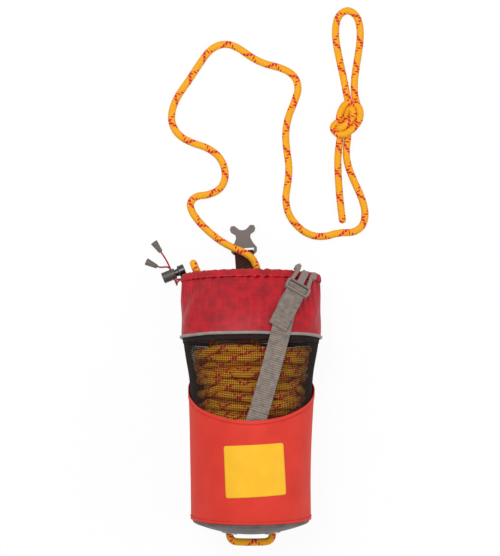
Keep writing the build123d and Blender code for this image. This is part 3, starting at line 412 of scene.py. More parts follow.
def mesh_piece(name, points, faces, mapping=None):
    """A smooth mesh object from points in millimetres, with an optional UV for each point."""
    data = bpy.data.meshes.new(name)
    data.from_pydata([tuple(p) for p in np.asarray(points) * MM], [], faces)
    data.update()
    if mapping is not None:
        layer = data.uv_layers.new(name="mm")
        corners = np.zeros(len(data.loops), dtype=np.int32)
        data.loops.foreach_get("vertex_index", corners)
        layer.data.foreach_set("uv", np.asarray(mapping, dtype=np.float32)[corners].ravel())
    data.polygons.foreach_set("use_smooth", [True] * len(data.polygons))
    piece = bpy.data.objects.new(name, data)
    bpy.context.scene.collection.objects.link(piece)
    return piece


def grid_faces(rows, columns, ring_rows=False, ring_columns=False, flip=False):
    """Faces between points laid in rows; a ring's last row or column meets its first."""
    faces = []
    for row in range(rows if ring_rows else rows - 1):
        for column in range(columns if ring_columns else columns - 1):
            here, there = row * columns, (row + 1) % rows * columns
            after = (column + 1) % columns
            a, b, c, d = here + column, here + after, there + after, there + column
            faces.append((a, b, c, d) if flip else (a, d, c, b))
    return faces


def add_modifier(piece, kind, **settings):
    """A modifier with its settings, left live and not applied."""
    modifier = piece.modifiers.new(kind.lower(), kind)
    for key, value in settings.items():
        setattr(modifier, key, value)
    return modifier


print("placing helpers ready")

# %% [markdown]
# ## Ropes and cords
# A cord is one smooth NURBS line with its route's points as control points. A bevel
# would give a plain pipe, so the rope is a mesh tube built round points read from
# that line. The tube's skin rises and falls where the braid's yarns cross.

# %% Read the smooth line of a route
def route_line(name, route):
    """Points along the NURBS spline that has the route as its control points."""
    curve = bpy.data.curves.new(name + "_route", "CURVE")
    curve.dimensions = "3D"
    curve.resolution_u = 16
    spline = curve.splines.new("NURBS")
    spline.points.add(len(route) - 1)
    for point, (x, y, z) in zip(spline.points, route):
        point.co = (x * MM, y * MM, z * MM, 1)
    spline.order_u = 3
    spline.use_endpoint_u = True
    holder = bpy.data.objects.new(name + "_route", curve)
    line = bpy.data.meshes.new_from_object(holder)
    found = np.array([v.co[:] for v in line.vertices]) / MM
    bpy.data.objects.remove(holder)
    bpy.data.meshes.remove(line)
    return found


def even_points(line, spacing):
    """The same line cut into equal steps."""
    steps = np.linalg.norm(np.diff(line, axis=0), axis=1)
    keep = np.concatenate([[True], steps > 1e-6])
    line = line[keep]
    run = np.concatenate([[0], np.cumsum(np.linalg.norm(np.diff(line, axis=0), axis=1))])
    count = max(4, int(round(run[-1] / spacing)) + 1)
    at = np.linspace(0, run[-1], count)
    return np.stack([np.interp(at, run, line[:, k]) for k in range(3)], axis=1), run[-1]


# %% Build a tube with frames that don't twist
def tube(name, line, radius, segments, spacing, relief, yarns=8, yarn_pitch=5.0, round_end=True):
    """A mesh tube round a line, with a braided skin and rounded ends."""
    path, length = even_points(line, spacing)
    ahead = np.gradient(path, axis=0)
    ahead /= np.linalg.norm(ahead, axis=1)[:, None]
    side = np.cross(ahead[0], (0, 0, 1))
    if np.linalg.norm(side) < 0.1:
        side = np.array([1.0, 0, 0])
    angle = np.linspace(0, 2 * pi, segments + 1)
    points, mapping = [], []
    last = len(path) - 1
    for i, (centre, forward) in enumerate(zip(path, ahead)):
        side = side - forward * np.dot(side, forward)
        side /= np.linalg.norm(side)
        up = np.cross(side, forward)
        down = i * length / last
        crossing = np.sin(yarns * angle + pi * down / yarn_pitch)
        crossing = crossing * np.sin(yarns * angle - pi * down / yarn_pitch)
        size = radius + relief * (1.6 * np.abs(crossing) - 1)
        from_end = min(down, length - down)
        if round_end and from_end < radius:
            size = size * sqrt(max(0.02, 1 - (1 - from_end / radius) ** 2))
        outward = np.cos(angle)[:, None] * side + np.sin(angle)[:, None] * up
        points.append(centre + size[:, None] * outward)
        mapping.append(np.stack([angle / (2 * pi), np.full(segments + 1, down)], axis=1))
    points, mapping = np.concatenate(points), np.concatenate(mapping)
    faces = grid_faces(last + 1, segments + 1)
    faces.append(tuple(range(segments)))
    faces.append(tuple(last * (segments + 1) + k for k in reversed(range(segments))))
    piece = mesh_piece(name, points, faces, mapping)
    print(name, "length in mm:", round(length), "points:", len(points))
    return piece, path, length


print("tube helpers ready")

# %% [markdown]
# ## The free rope and its knot
# The rope comes out of the mouth, wanders over the ground, and ends in a
# figure-eight knot tied with the rope doubled, which leaves a loop to hold. The whole
# of it is one line: up through the knot, round the loop, back down beside itself, and
# out as a short tail. The knot's turns are more points of that same line.

# %% Route of the rope, in millimetres
GROUND = 4.8
RUN = [
    (6, 70, 36), (3, 92, 34), (5, 115, 31), (9, 138, 28), (9.5, 158, 26.5), (8.5, 175, 26),
    (3, 189, 25.5), (-9, 197.5, 25), (-24, 203.5, 23.5), (-38, 211, 14), (-52, 221.5, 6.5),
    (-66, 234.5, GROUND), (-77.5, 249, GROUND), (-82, 262.5, GROUND), (-73.5, 272.5, GROUND),
    (-58.5, 273.5, GROUND), (-43, 279.5, GROUND), (-34.5, 292, GROUND), (-34, 308, GROUND),
    (-41.5, 324.5, GROUND), (-57, 336.5, GROUND), (-79, 343, GROUND), (-97.5, 353.5, GROUND),
    (-106.5, 371.5, GROUND), (-104, 391, GROUND), (-95, 409, GROUND), (-81, 428, GROUND),
    (-66.5, 451, GROUND), (-53, 468.5, GROUND), (-35, 475.5, GROUND), (-16.5, 469.5, GROUND),
    (1.5, 455.5, GROUND), (20.5, 447, GROUND), (41, 442.5, GROUND), (57.5, 433, GROUND),
    (64, 416, GROUND), (57.5, 397, GROUND), (49.5, 378, GROUND), (45.5, 357.5, GROUND),
    (47, 334.5, GROUND), (51, 311, GROUND), (48.8, 288.5, GROUND), (45.5, 269, GROUND),
    (48.5, 250.5, GROUND), (59.5, 233.5, GROUND), (76, 221, GROUND), (95.5, 217.5, GROUND),
    (116.5, 224, GROUND), (135.5, 223.5, GROUND), (148.5, 232, GROUND), (152.5, 249, GROUND),
    (147, 270.5, GROUND), (137, 291.5, GROUND), (129.5, 310, GROUND), (126, 325.5, 8),
]
LOOP = [
    (137, 426, 7.5), (140.5, 449, GROUND), (144.5, 473, GROUND), (145.5, 495, GROUND),
    (140.5, 512.5, GROUND), (128, 520.5, GROUND), (115.5, 512, GROUND), (111.5, 494, GROUND),
    (113.5, 472, GROUND), (118.5, 448.5, GROUND), (123.5, 425, 7.5),
]
TAIL = [
    (115, 324, 7.5), (115.5, 303, GROUND), (117, 281, GROUND), (119, 258, GROUND),
    (122, 236, GROUND),
]
# The knot's middle line: right of the knot, up the knot, and height.
EIGHT = [
    (0, -33, 9), (0, -21, 8), (-4, -7, 7), (-6, 8, 8.5), (-2, 20, 13), (9, 19, 16.5),
    (13, 6, 16), (5, -9, 17), (-7, -18, 16.5), (-14, -13, 10), (-6, -5, 5.5), (6, 3, 5.5),
    (8, 14, 6), (4, 25, 8), (0, 33, 10),
]
EIGHT_X, EIGHT_Y, EIGHT_TURN = 127, 372.4, radians(-9)
STRAND_APART = 5.0


def eight_strand(side):
    """One of the knot's two strands, beside its middle line."""
    strand = []
    for i, (x, y, z) in enumerate(EIGHT):
        before, after = EIGHT[max(i - 1, 0)], EIGHT[min(i + 1, len(EIGHT) - 1)]
        run, rise = after[0] - before[0], after[1] - before[1]
        long = hypot(run, rise)
        x += side * STRAND_APART * rise / long
        y -= side * STRAND_APART * run / long
        right = x * cos(EIGHT_TURN) - y * sin(EIGHT_TURN)
        upward = x * sin(EIGHT_TURN) + y * cos(EIGHT_TURN)
        strand.append((EIGHT_X + right, EIGHT_Y + upward, z))
    return strand


rope_route = RUN + eight_strand(1) + LOOP + eight_strand(-1)[::-1] + TAIL
print("rope route points:", len(rope_route))

# %% Build the rope
ROPE_RADIUS, ROPE_SIDES, ROPE_STEP, BRAID_RELIEF = 4.75, 32, 1.25, 0.22
rope, rope_path, rope_length = tube("free_rope", route_line("rope", rope_route), ROPE_RADIUS,
                                    ROPE_SIDES, ROPE_STEP, BRAID_RELIEF)
place_piece(rope, rope_braid, "bag",
            ["rope_run", "rope_knot", "rope_bight", "rope_tail"])

# %% The bit of stuffed rope at the left of the mouth
MOUTH_BIGHT = [
    (-48, 70, 52), (-50, 96, 49), (-55, 121, 43), (-61, 144, 38.5), (-67, 163, 38),
    (-75.5, 182, 39.5), (-76.5, 184, 24), (-67.5, 164, 22), (-60, 143, 21), (-53, 119, 24),
    (-50.5, 94, 28), (-50, 70, 31),
]
mouth_bight, _, _ = tube("mouth_bight_rope", route_line("mouth", MOUTH_BIGHT), ROPE_RADIUS,
                         ROPE_SIDES, ROPE_STEP, BRAID_RELIEF)
place_piece(mouth_bight, rope_braid, "bag", ["rope_mouth_bight"])

# %% The grab loop, through both eyelets of the base
GRAB = [
    (-22, -134.3, 72.5), (-24.5, -148, 72.5), (-27.2, -162, 72.5), (-28.6, -170, 72.5),
    (-24, -178.6, 72.5), (-8, -179.2, 72.5), (8, -179.2, 72.5), (24, -178.6, 72.5),
    (28.6, -170, 72.5), (27.2, -162, 72.5), (24.5, -148, 72.5), (22, -134.3, 72.5),
]
grab, _, _ = tube("grab_loop_rope", route_line("grab", GRAB), ROPE_RADIUS, ROPE_SIDES, ROPE_STEP,
                  BRAID_RELIEF, round_end=False)
place_piece(grab, rope_braid, "bag", ["grab_loop"])

# %% [markdown]
# ## Drawcord ends
# The thin cord leaves the hem through a buttonhole, passes the cord lock, and ends in
# two moulded tips.

# %% Build the two cord ends
UPPER_CORD = [
    (-91.4, 162, 32.9), (-98, 162.6, 31.5), (-99.5, 157.6, 18.3), (-99.5, 157.6, 9.5),
    (-107.5, 177.6, 9.5), (-112.5, 187.5, 7.4), (-117.8, 195.6, 5.2), (-123, 202.9, 5.3),
]
LOWER_CORD = [
    (-91.4, 162, 30.5), (-97, 159.5, 27.7), (-98.2, 154.4, 16.3), (-98.2, 154.4, 7.1),
    (-107.5, 177.6, 7.1), (-113, 178.5, 6), (-121.8, 177.3, 5.2), (-129.9, 181.2, 5.3),
]
CORD_RADIUS = 1.1
for name, route, node, tip in (
    ("upper_cord", UPPER_CORD, "drawcord_upper", "cord_tip_upper"),
    ("lower_cord", LOWER_CORD, "drawcord_lower", "cord_tip_lower"),
):
    cord, cord_path, cord_length = tube(name, route_line(name, route), CORD_RADIUS, 16, 0.5,
                                        0.08, yarns=6, yarn_pitch=1.6, round_end=False)
    place_piece(cord, cord_braid, "bag", [node])

# %% [markdown]
# ## The bag's form
# The stuffed bag is a round tube that flattens under its own weight and leans forward
# at the throat. A few ellipses, leaning like the real edges, describe it. A smooth
# curve between them gives a point of the skin for any angle and any place along the
# bag, and every cloth piece is laid on that skin.

# %% The skin of the bag
SINK = 5
SKIN_RADIUS = 82
RINGS = [
    (-149, 77.5, 150, 0), (-104, 77.8, 151, 1), (-59, 79, 150.5, 2.5), (-14, 80.6, 147, 4),
    (36, 83.6, 135.5, 6), (86, 91.5, 118, 7.6), (128, 92, 98, 10), (167, 90.5, 66, 14),
]


def ring_at(y):
    """Half width, top height and lean of the skin where its ring's middle is at y."""
    k = 1
    while k < len(RINGS) - 1 and y > RINGS[k][0]:
        k += 1
    before, first = RINGS[max(k - 2, 0)], RINGS[k - 1]
    second, after = RINGS[k], RINGS[min(k + 1, len(RINGS) - 1)]
    span = second[0] - first[0]
    t = (y - first[0]) / span
    found = []
    for i in (1, 2, 3):
        leave = (second[i] - before[i]) / (second[0] - before[0]) * span
        arrive = (after[i] - first[i]) / (after[0] - first[0]) * span
        rise = second[i] - first[i]
        bend = t * (t - 1) * ((t - 1) * (leave - rise) + t * (arrive - rise))
        found.append(first[i] + t * rise + bend)
    return found


def skin(angle, y, depth):
    """A point of the skin, at a depth below it; angle 0 is the right, pi/2 the front."""
    half_width, top, lean = ring_at(y)
    lean = radians(lean)
    half_height = (top + SINK) / 2 / cos(lean)
    up = (half_height - depth) * sin(angle)
    height = (top - SINK) / 2 + up * cos(lean)
    return ((half_width - depth) * cos(angle), y + up * sin(lean), max(height, depth + 0.05))


def front_height(x, y):
    """Height of the front of the skin above a point of the ground."""
    ring_y = y
    for _ in range(12):
        half_width, top, lean = ring_at(ring_y)
        rise = (top + SINK) / 2 * sqrt(max(0.01, 1 - (x / half_width) ** 2))
        ring_y = y - rise * tan(radians(lean))
    return (top - SINK) / 2 + rise


print("top of the bag:", round(front_height(0, -60), 1))


# %% A function that lays a cloth wall on the skin
def cloth_wall(name, low, high, depth, columns, rows, relief=None, thickness=0.0):
    """A ring of cloth from low(angle) to high(angle), at a depth, with a relief in mm."""
    points, mapping = [], []
    for row in range(rows + 1):
        t = row / rows
        for column in range(columns + 1):
            angle = 2 * pi * column / columns
            y = low(angle) * (1 - t) + high(angle) * t
            lift = relief(angle, y, t) if relief else 0
            points.append(skin(angle, y, depth - lift))
            mapping.append((angle * SKIN_RADIUS, y))
    piece = mesh_piece(name, points, grid_faces(rows + 1, columns + 1), mapping)
    weld_seam(piece)
    if thickness:
        add_modifier(piece, "SOLIDIFY", thickness=thickness * MM, offset=-1.0)
    print(name, "faces:", len(piece.data.polygons))
    return piece


def weld_seam(piece):
    """Joins the first and last columns, which meet, and keeps each corner's UV."""
    shape = bmesh.new()
    shape.from_mesh(piece.data)
    bmesh.ops.remove_doubles(shape, verts=shape.verts, dist=0.00002)
    shape.to_mesh(piece.data)
    shape.free()


rng = np.random.default_rng(7)


def ripple_bank(count, low, high):
    """Random waves round the bag: how many, their phase and their strength."""
    return [(rng.integers(low, high), rng.uniform(0, 2 * pi), rng.uniform(0.4, 1))
            for _ in range(count)]


def ripples(bank, angle, drift=0.0):
    """The sum of a bank of waves at an angle, about -1 to 1."""
    total = sum(strength * sin(waves * angle + phase + drift) for waves, phase, strength in bank)
    return total / sqrt(len(bank))


print("cloth helpers ready")

# %% [markdown]
# ## Outer sleeve
# The lower half is a sleeve of heavy pack cloth. Its top edge is cut on a slant, so it
# scoops down at the front. It bulges softly over the rope inside. Slow waves make
# that bulge, and the cloth gets a rolled hem with two rows of stitches.

# %% Build the sleeve
def sleeve_top(angle):
    """Where the slanted cut meets the skin."""
    y = 0.0
    for _ in range(20):
        _, front_y, height = skin(angle, y, 0)
        y += (15 - (height - 75) * 0.435 - front_y) * 0.8
    return y


SLEEVE_COLUMNS = 240
SLEEVE_FOOT = -148.6
top_of_sleeve = [sleeve_top(2 * pi * k / SLEEVE_COLUMNS) for k in range(SLEEVE_COLUMNS + 1)]


def sleeve_edge(angle):
    """The same edge, looked up between its measured places."""
    column = angle / (2 * pi) * SLEEVE_COLUMNS
    return float(np.interp(column, range(SLEEVE_COLUMNS + 1), top_of_sleeve))


sleeve_bank, sleeve_folds = ripple_bank(5, 2, 7), ripple_bank(6, 9, 22)


# The hems and the seam beside each, as shares of the sleeve's length.
FOOT_HEM, TOP_HEM, SEAM_SHARE = 0.035, 0.955, 0.01


def near_edges(t, reach):
    """1 at both edges of a piece, falling away from them."""
    return exp(-t / reach) + exp(-(1 - t) / reach)


def sleeve_relief(angle, y, t):
    """Soft bulges, finer puckers by the edges, and the step of the rolled hems."""
    bulge = 0.9 * ripples(sleeve_bank, angle, y / 38)
    pucker = 0.25 * ripples(sleeve_folds, angle, y / 60) * (near_edges(t, 0.12) + 0.25)
    from_hem = min(t - FOOT_HEM, TOP_HEM - t)
    hem = 0.5 if from_hem < 0 else -0.35 if from_hem < SEAM_SHARE else 0
    return bulge + pucker + hem


sleeve = cloth_wall("outer_sleeve", lambda angle: SLEEVE_FOOT, sleeve_edge, 0.1, SLEEVE_COLUMNS,
                    110, sleeve_relief, thickness=1.1)
place_piece(sleeve, sleeve_cloth, "bag", ["lower_sleeve"])

# %% Stitch rows on the sleeve's hems
def stitch_row(name, place, count, radius, material, body):
    """One mesh of many short threads; place(k) gives the start and end of each."""
    points, faces = [], []
    for k in range(count):
        start, end = (np.array(p, dtype=float) for p in place(k))
        forward = (end - start) / np.linalg.norm(end - start)
        side = np.cross(forward, (0, 0, 1))
        side /= max(np.linalg.norm(side), 1e-6)
        up = np.cross(side, forward)
        base = len(points)
        for step, size in ((0, 0.3), (0.2, 1), (0.8, 1), (1, 0.3)):
            centre = start + (end - start) * step
            for q in range(6):
                a = q * pi / 3
                points.append(centre + radius * size * (cos(a) * side + sin(a) * up))
        thread = grid_faces(4, 6, ring_columns=True, flip=True)
        faces += [tuple(base + corner for corner in face) for face in thread]
    place_piece(mesh_piece(name, points, faces), material, body)


HEM_STITCHES = 150


def hem_stitch(t):
    """Places of stitches along a line at one share of the sleeve's length."""
    def place(k):
        ends = []
        for share in (0.1, 0.75):
            angle = 2 * pi * (k + share) / HEM_STITCHES
            y = SLEEVE_FOOT * (1 - t) + sleeve_edge(angle) * t
            ends.append(skin(angle, y, 0.1 - sleeve_relief(angle, y, t) - 0.12))
        return ends
    return place


for name, share in (("upper_hem_stitches", 0.965), ("lower_hem_stitches", 0.028)):
    stitch_row(name, hem_stitch(share), HEM_STITCHES, 0.28, sewing_thread, "bag")
print("stitch rows done")

# %% [markdown]
# ## Name patch
# A plain yellow rectangle is printed on the sleeve. It is a thin skin with rounded
# corners that follows the sleeve's own bulges, a little above it.

# %% Build the plain patch
PATCH_X, PATCH_Y, PATCH_TURN = 4.7, -80.3, radians(3)
PATCH_WIDTH, PATCH_LENGTH, PATCH_CORNER = 76, 66, 3


def patch_point(u, v):
    """A point of the patch; u and v run from -1 to 1."""
    x, y = u * PATCH_WIDTH / 2, v * PATCH_LENGTH / 2
    over_x = abs(x) - (PATCH_WIDTH / 2 - PATCH_CORNER)
    over_y = abs(y) - (PATCH_LENGTH / 2 - PATCH_CORNER)
    if over_x > 0 and over_y > 0 and hypot(over_x, over_y) > PATCH_CORNER:
        pull = PATCH_CORNER / hypot(over_x, over_y)
        x -= (1 if x > 0 else -1) * over_x * (1 - pull)
        y -= (1 if y > 0 else -1) * over_y * (1 - pull)
    turned_x = PATCH_X + x * cos(PATCH_TURN) - y * sin(PATCH_TURN)
    turned_y = PATCH_Y + x * sin(PATCH_TURN) + y * cos(PATCH_TURN)
    half_width = ring_at(turned_y)[0]
    angle = atan2(sqrt(1 - (turned_x / half_width) ** 2), turned_x / half_width)
    ring_y = turned_y
    for _ in range(6):
        ring_y += turned_y - skin(angle, ring_y, 0)[1]
    t = (ring_y - SLEEVE_FOOT) / (sleeve_edge(angle) - SLEEVE_FOOT)
    return skin(angle, ring_y, -sleeve_relief(angle, ring_y, t) - 0.35), (turned_x, turned_y)


PATCH_STEPS = 60
points, mapping = [], []
for j in range(PATCH_STEPS + 1):
    for i in range(PATCH_STEPS + 1):
        point, flat = patch_point(2 * i / PATCH_STEPS - 1, 2 * j / PATCH_STEPS - 1)
        points.append(point)
        mapping.append(flat)
faces = grid_faces(PATCH_STEPS + 1, PATCH_STEPS + 1, flip=True)
patch = mesh_piece("plain_patch", points, faces, mapping)
add_modifier(patch, "SOLIDIFY", thickness=0.3 * MM, offset=-1.0)
place_piece(patch, patch_film, "bag", ["name_patch"])
print("patch corners:", [round(c) for c in points[0]])

# %% [markdown]
# ## Net window
# The upper half is square net, so that water drains. Real holes look right from any
# side, and let the rope show through. A grid of quads is laid on the skin and the
# Wireframe modifier turns each edge into a yarn.

# %% Build the net
BINDING_TOP = 84.0
NET_DEPTH, NET_HOLES_ROUND, NET_HOLES_ALONG, NET_YARN = 3.2, 196, 38, 0.95
net_bank = ripple_bank(5, 3, 9)


def net_relief(angle, y, t):
    """The rope inside pushes the net out in soft lumps."""
    return 0.8 * ripples(net_bank, angle, y / 16) * sin(pi * min(1, t * 1.02))


net = cloth_wall("net_window", lambda angle: sleeve_edge(angle) - 10,
                 lambda angle: BINDING_TOP - 4, NET_DEPTH, NET_HOLES_ROUND, NET_HOLES_ALONG,
                 net_relief)
net.data.polygons.foreach_set("use_smooth", [False] * len(net.data.polygons))
add_modifier(net, "WIREFRAME", thickness=NET_YARN * MM, use_even_offset=False)
place_piece(net, net_yarn, "bag", ["mesh_wall"])

# %% Black tape over the net's top edge
tape_bank = ripple_bank(6, 8, 30)
tape = cloth_wall("net_binding_tape", lambda angle: BINDING_TOP - 5.5, lambda angle: BINDING_TOP,
                  2.0, 240, 8, lambda angle, y, t: 0.25 * ripples(tape_bank, angle), thickness=0.9)
place_piece(tape, tape_cloth, "bag", ["mesh_binding"])

# %% [markdown]
# ## Piping, collar and hem
# A round reflective piping closes the seam between net and collar. The collar is thin
# ripstop nylon, pulled up by the drawcord, so it has diagonal drag lines low down and
# tight puckers under the hem. The hem is a channel round the drawcord.

# %% A function for a round roll of cloth along a ring of the skin
def rolled_ring(name, y, depth, half_y, half_out, columns, around, wobble):
    """A closed roll; wobble(angle) gives its shift along the bag, outwards and in size."""
    points, mapping = [], []
    for column in range(columns):
        angle = 2 * pi * column / columns
        shift, out, size = wobble(angle)
        for k in range(around):
            turn = 2 * pi * k / around
            points.append(skin(angle, y + shift + half_y * size * cos(turn),
                               depth - out - half_out * size * sin(turn)))
            mapping.append((angle * SKIN_RADIUS, k * 2 * (half_y + half_out) / around))
    faces = grid_faces(columns, around, ring_rows=True, ring_columns=True, flip=True)
    return mesh_piece(name, points, faces, mapping)


PIPING_Y = 86
piping_bank = ripple_bank(5, 3, 14)
piping = rolled_ring("reflective_piping_roll", PIPING_Y, 0.5, 2.0, 2.1, 260, 14,
                     lambda angle: (0.4 * ripples(piping_bank, angle), 0.15, 1))
place_piece(piping, piping_cloth, "bag", ["reflective_piping"])

# %% Build the collar
HEM_Y, MOUTH_Y = 157.0, 167.0
slow_bank, drag_bank = ripple_bank(5, 2, 6), ripple_bank(7, 5, 13)
gather_bank, fine_bank = ripple_bank(9, 26, 60), ripple_bank(7, 50, 95)


def collar_relief(angle, y, t):
    """Diagonal drag lines in the middle, and puckers that tighten to the hem."""
    slow = 1.5 * ripples(slow_bank, angle, y / 30)
    drag = 2.2 * ripples(drag_bank, angle, y / 11) * sin(pi * t)
    gather = 1.5 * ripples(gather_bank, angle, y / 45) * t ** 1.5
    fine = 0.6 * ripples(fine_bank, angle) * t ** 4
    crease = -0.7 * max(0, 1 - abs(t - 0.965) / 0.035)
    folds = slow * abs(sin(pi * t)) ** 0.5 + drag + gather + fine + crease
    return min(folds - 0.5, 0.6)


COLLAR_FOOT, UNDER_HEM = PIPING_Y + 1, 3.2
collar = cloth_wall("nylon_collar", lambda angle: COLLAR_FOOT, lambda angle: HEM_Y + UNDER_HEM,
                    0.3, 420, 70, collar_relief, thickness=0.5)
place_piece(collar, collar_cloth, "bag", ["collar"])


# %% Build the gathered hem
def hem_wobble(angle):
    """Puckers of the channel: its edge moves, swells and narrows."""
    bunch = 0.7 * abs(ripples(gather_bank, angle)) + 0.35 * ripples(fine_bank, angle)
    shift = 0.7 * ripples(gather_bank, angle, 1.0) + 0.3 * ripples(fine_bank, angle, 2.0)
    return shift, bunch - 0.3, 1


CHANNEL_Y, CHANNEL_DEPTH = (HEM_Y + MOUTH_Y) / 2, 0.6
hem = rolled_ring("gathered_hem", CHANNEL_Y, CHANNEL_DEPTH, 5.0, 2.2, 720, 20, hem_wobble)
place_piece(hem, collar_cloth, "bag", ["collar_hem"])

# %% The drawcord inside its channel
ring_cord = rolled_ring("hem_drawcord", CHANNEL_Y, CHANNEL_DEPTH, 1.0, 1.0, 240, 10,
                        lambda angle: (0, 0, 1))
place_piece(ring_cord, cord_braid, "bag", ["drawcord"])

# %% [markdown]
# ## Stuffed rope
# About 19 m of rope fills the bag. Only its outer turns show through the net, so those
# are real ropes on two levels that slant opposite ways, round a dark core. Modelling
# all 19 m would cost much and show nothing more.

# %% Lay the outer turns of the stuffed rope
def wandering_turns(count, climb, depth, seed):
    """A route that winds round the bag in loose waves, climbing a little each turn."""
    draw = np.random.default_rng(seed)
    route = []
    for k in range(count):
        share = k / (count - 1)
        y = LOWEST_TURN + STUFFED_LENGTH * (share if climb else 1 - share)
        y += draw.uniform(-WANDER, WANDER)
        angle = 2 * pi * k / TURN_POINTS + draw.uniform(-0.1, 0.1)
        y = min(max(y, LOWEST_ROPE), HIGHEST_ROPE)
        route.append(skin(angle, y, depth + draw.uniform(0, 4)))
    return route


TURN_POINTS, LOWEST_TURN, STUFFED_LENGTH, WANDER = 9, -42, 112, 11
LOWEST_ROPE, HIGHEST_ROPE = -46, 71
stuffed = []
for name, count, climb, depth, seed in (
    ("stuffed_rope_outer", 100, True, 9.4, 3), ("stuffed_rope_inner", 104, False, 17.5, 5),
):
    route = wandering_turns(count, climb, depth, seed)
    turns, _, _ = tube(name, route_line(name, route), ROPE_RADIUS, 18, 2.2, 0.2)
    stuffed.append(turns)
CORE_FOOT, CORE_TOP, CORE_DEPTH = -106, 66, 26
core = cloth_wall("stuffed_rope_core", lambda angle: CORE_FOOT, lambda angle: CORE_TOP, CORE_DEPTH,
                  64, 20)
place_piece(stuffed[0], rope_braid, "bag", ["rope_stowed"])
for turns in stuffed[1:] + [core]:
    place_piece(turns, rope_braid, "bag")

# %% [markdown]
# ## Closing strap
# One length of ribbed webbing is sewn under the sleeve's edge, runs over the front,
# turns round the buckle's bar and comes back on itself with a folded end. Webbing has
# a flat section and cross ribs, so it is built as a ribbon along its middle line.

# %% Follow the strap's middle line
STRAP_ROOT = np.array((7.2, -15.0, 145.447))
BAR = np.array((60.5, 151.0, 80.782))
WEB_WIDTH, WEB_THICK, FOLD_RADIUS = 25.4, 1.5, 2.65
WEB_RIB, TAB_RIB = 0.28, 0.2


def tilted_axes(heading, slope, roll):
    """Along, across and out of a strip that lies on the bag's front."""
    turn, dip, lean = radians(heading), radians(slope), radians(roll)
    along = np.array((cos(dip) * sin(turn), cos(dip) * cos(turn), -sin(dip)))
    level = np.array((cos(turn), -sin(turn), 0))
    upright = np.cross(level, along)
    return along, level * cos(lean) - upright * sin(lean), upright * cos(lean) + level * sin(lean)


def clear_height(origin, axes, distance, gap):
    """How far out the strip's middle lies so that its whole width clears the skin."""
    along, across, out = axes
    best = -1000
    for side in (-0.5, 0, 0.5):
        rise = 0
        for _ in range(20):
            point = origin + along * distance + across * (side * WEB_WIDTH) + out * rise
            rise += 0.7 * (front_height(point[0], point[1]) + gap - point[2])
        best = max(best, rise)
    return best


strap_axes, buckle_axes = tilted_axes(17.6, 0, 7), tilted_axes(27.5, 41, 4)


def lay(origin, axes, stations):
    """Points of a middle line from its distances along and its heights."""
    return [tuple(origin + axes[0] * d + axes[2] * h) for d, h in stations]


def over_front(*stations):
    """The middle line over the bag from distances along it and gaps between it and the skin."""
    return lay(STRAP_ROOT, strap_axes, [
        (d, clear_height(STRAP_ROOT, strap_axes, d, gap + WEB_THICK / 2)) for d, gap in stations
    ])


strap_line = over_front((9, -2.6), (30, -1.2), (66, 0.6), (94, 1.2), (114, 2.6), (133, 1.8),
                        (149, 1.8))
strap_line += lay(BAR, buckle_axes, [(-15, -FOLD_RADIUS), (-5, -FOLD_RADIUS)])
fold_line = [(FOLD_RADIUS * sin(a), -FOLD_RADIUS * cos(a)) for a in np.linspace(0, pi, 7)]
tail_line = [(-2.2, FOLD_RADIUS), (-5.5, -0.4), (-9.5, -0.75), (-17, -0.7)]
tail_line += [(d, clear_height(BAR, buckle_axes, d, 5.15)) for d in (-30, -48, -66)]
print("strap points:", len(strap_line) + len(fold_line) + len(tail_line))


# %% A function for ribbed webbing
RIBBON_STEP = 0.36


def ribbon(name, line, across_start, across_end, width, thick, rib):
    """Webbing along a line, with ribs across it and rounded selvedges."""
    path, length = even_points(np.array(line), RIBBON_STEP)
    ahead = np.gradient(path, axis=0)
    ahead /= np.linalg.norm(ahead, axis=1)[:, None]
    section = [(-0.5, 0), (-0.49, 0.35), (-0.465, 0.5), (-0.43, 0.44), (-0.22, 0.46), (0, 0.47),
               (0.22, 0.46), (0.43, 0.44), (0.465, 0.5), (0.49, 0.35), (0.5, 0)]
    section += [(u, -v) for u, v in section[-2:0:-1]]
    points, mapping = [], []
    wide = len(section)
    last = len(path) - 1
    for i, (centre, forward) in enumerate(zip(path, ahead)):
        across = across_start * (1 - i / last) + across_end * (i / last)
        across = across - forward * np.dot(across, forward)
        across /= np.linalg.norm(across)
        out = np.cross(across, forward)
        down = i * length / last
        swell = rib * (abs(sin(pi * down / RIB_PITCH)) - 0.5)
        for u, v in section:
            grow = swell * (1 if abs(u) < 0.45 else 0.3) * (1 if v > 0 else -1 if v < 0 else 0)
            points.append(centre + across * (u * width) + out * (v * thick + grow))
            mapping.append((u * width, down))
    faces = grid_faces(last + 1, wide, ring_columns=True, flip=True)
    faces.append(tuple(reversed(range(wide))))
    faces.append(tuple(last * wide + k for k in range(wide)))
    piece = mesh_piece(name, points, faces, mapping)
    print(name, "length in mm:", round(length))
    return piece


# %% Build the sewn end, under the sleeve's edge
sewn_line = over_front((-6, -5.2), (-2, -4.6), (3, -3.6), (8.9, -2.7))
sewn_end = ribbon("webbing_sewn_end", route_line("sewn_end", sewn_line), strap_axes[1],
                  strap_axes[1], WEB_WIDTH, WEB_THICK, WEB_RIB)
place_piece(sewn_end, webbing, "bag", ["strap_root"])

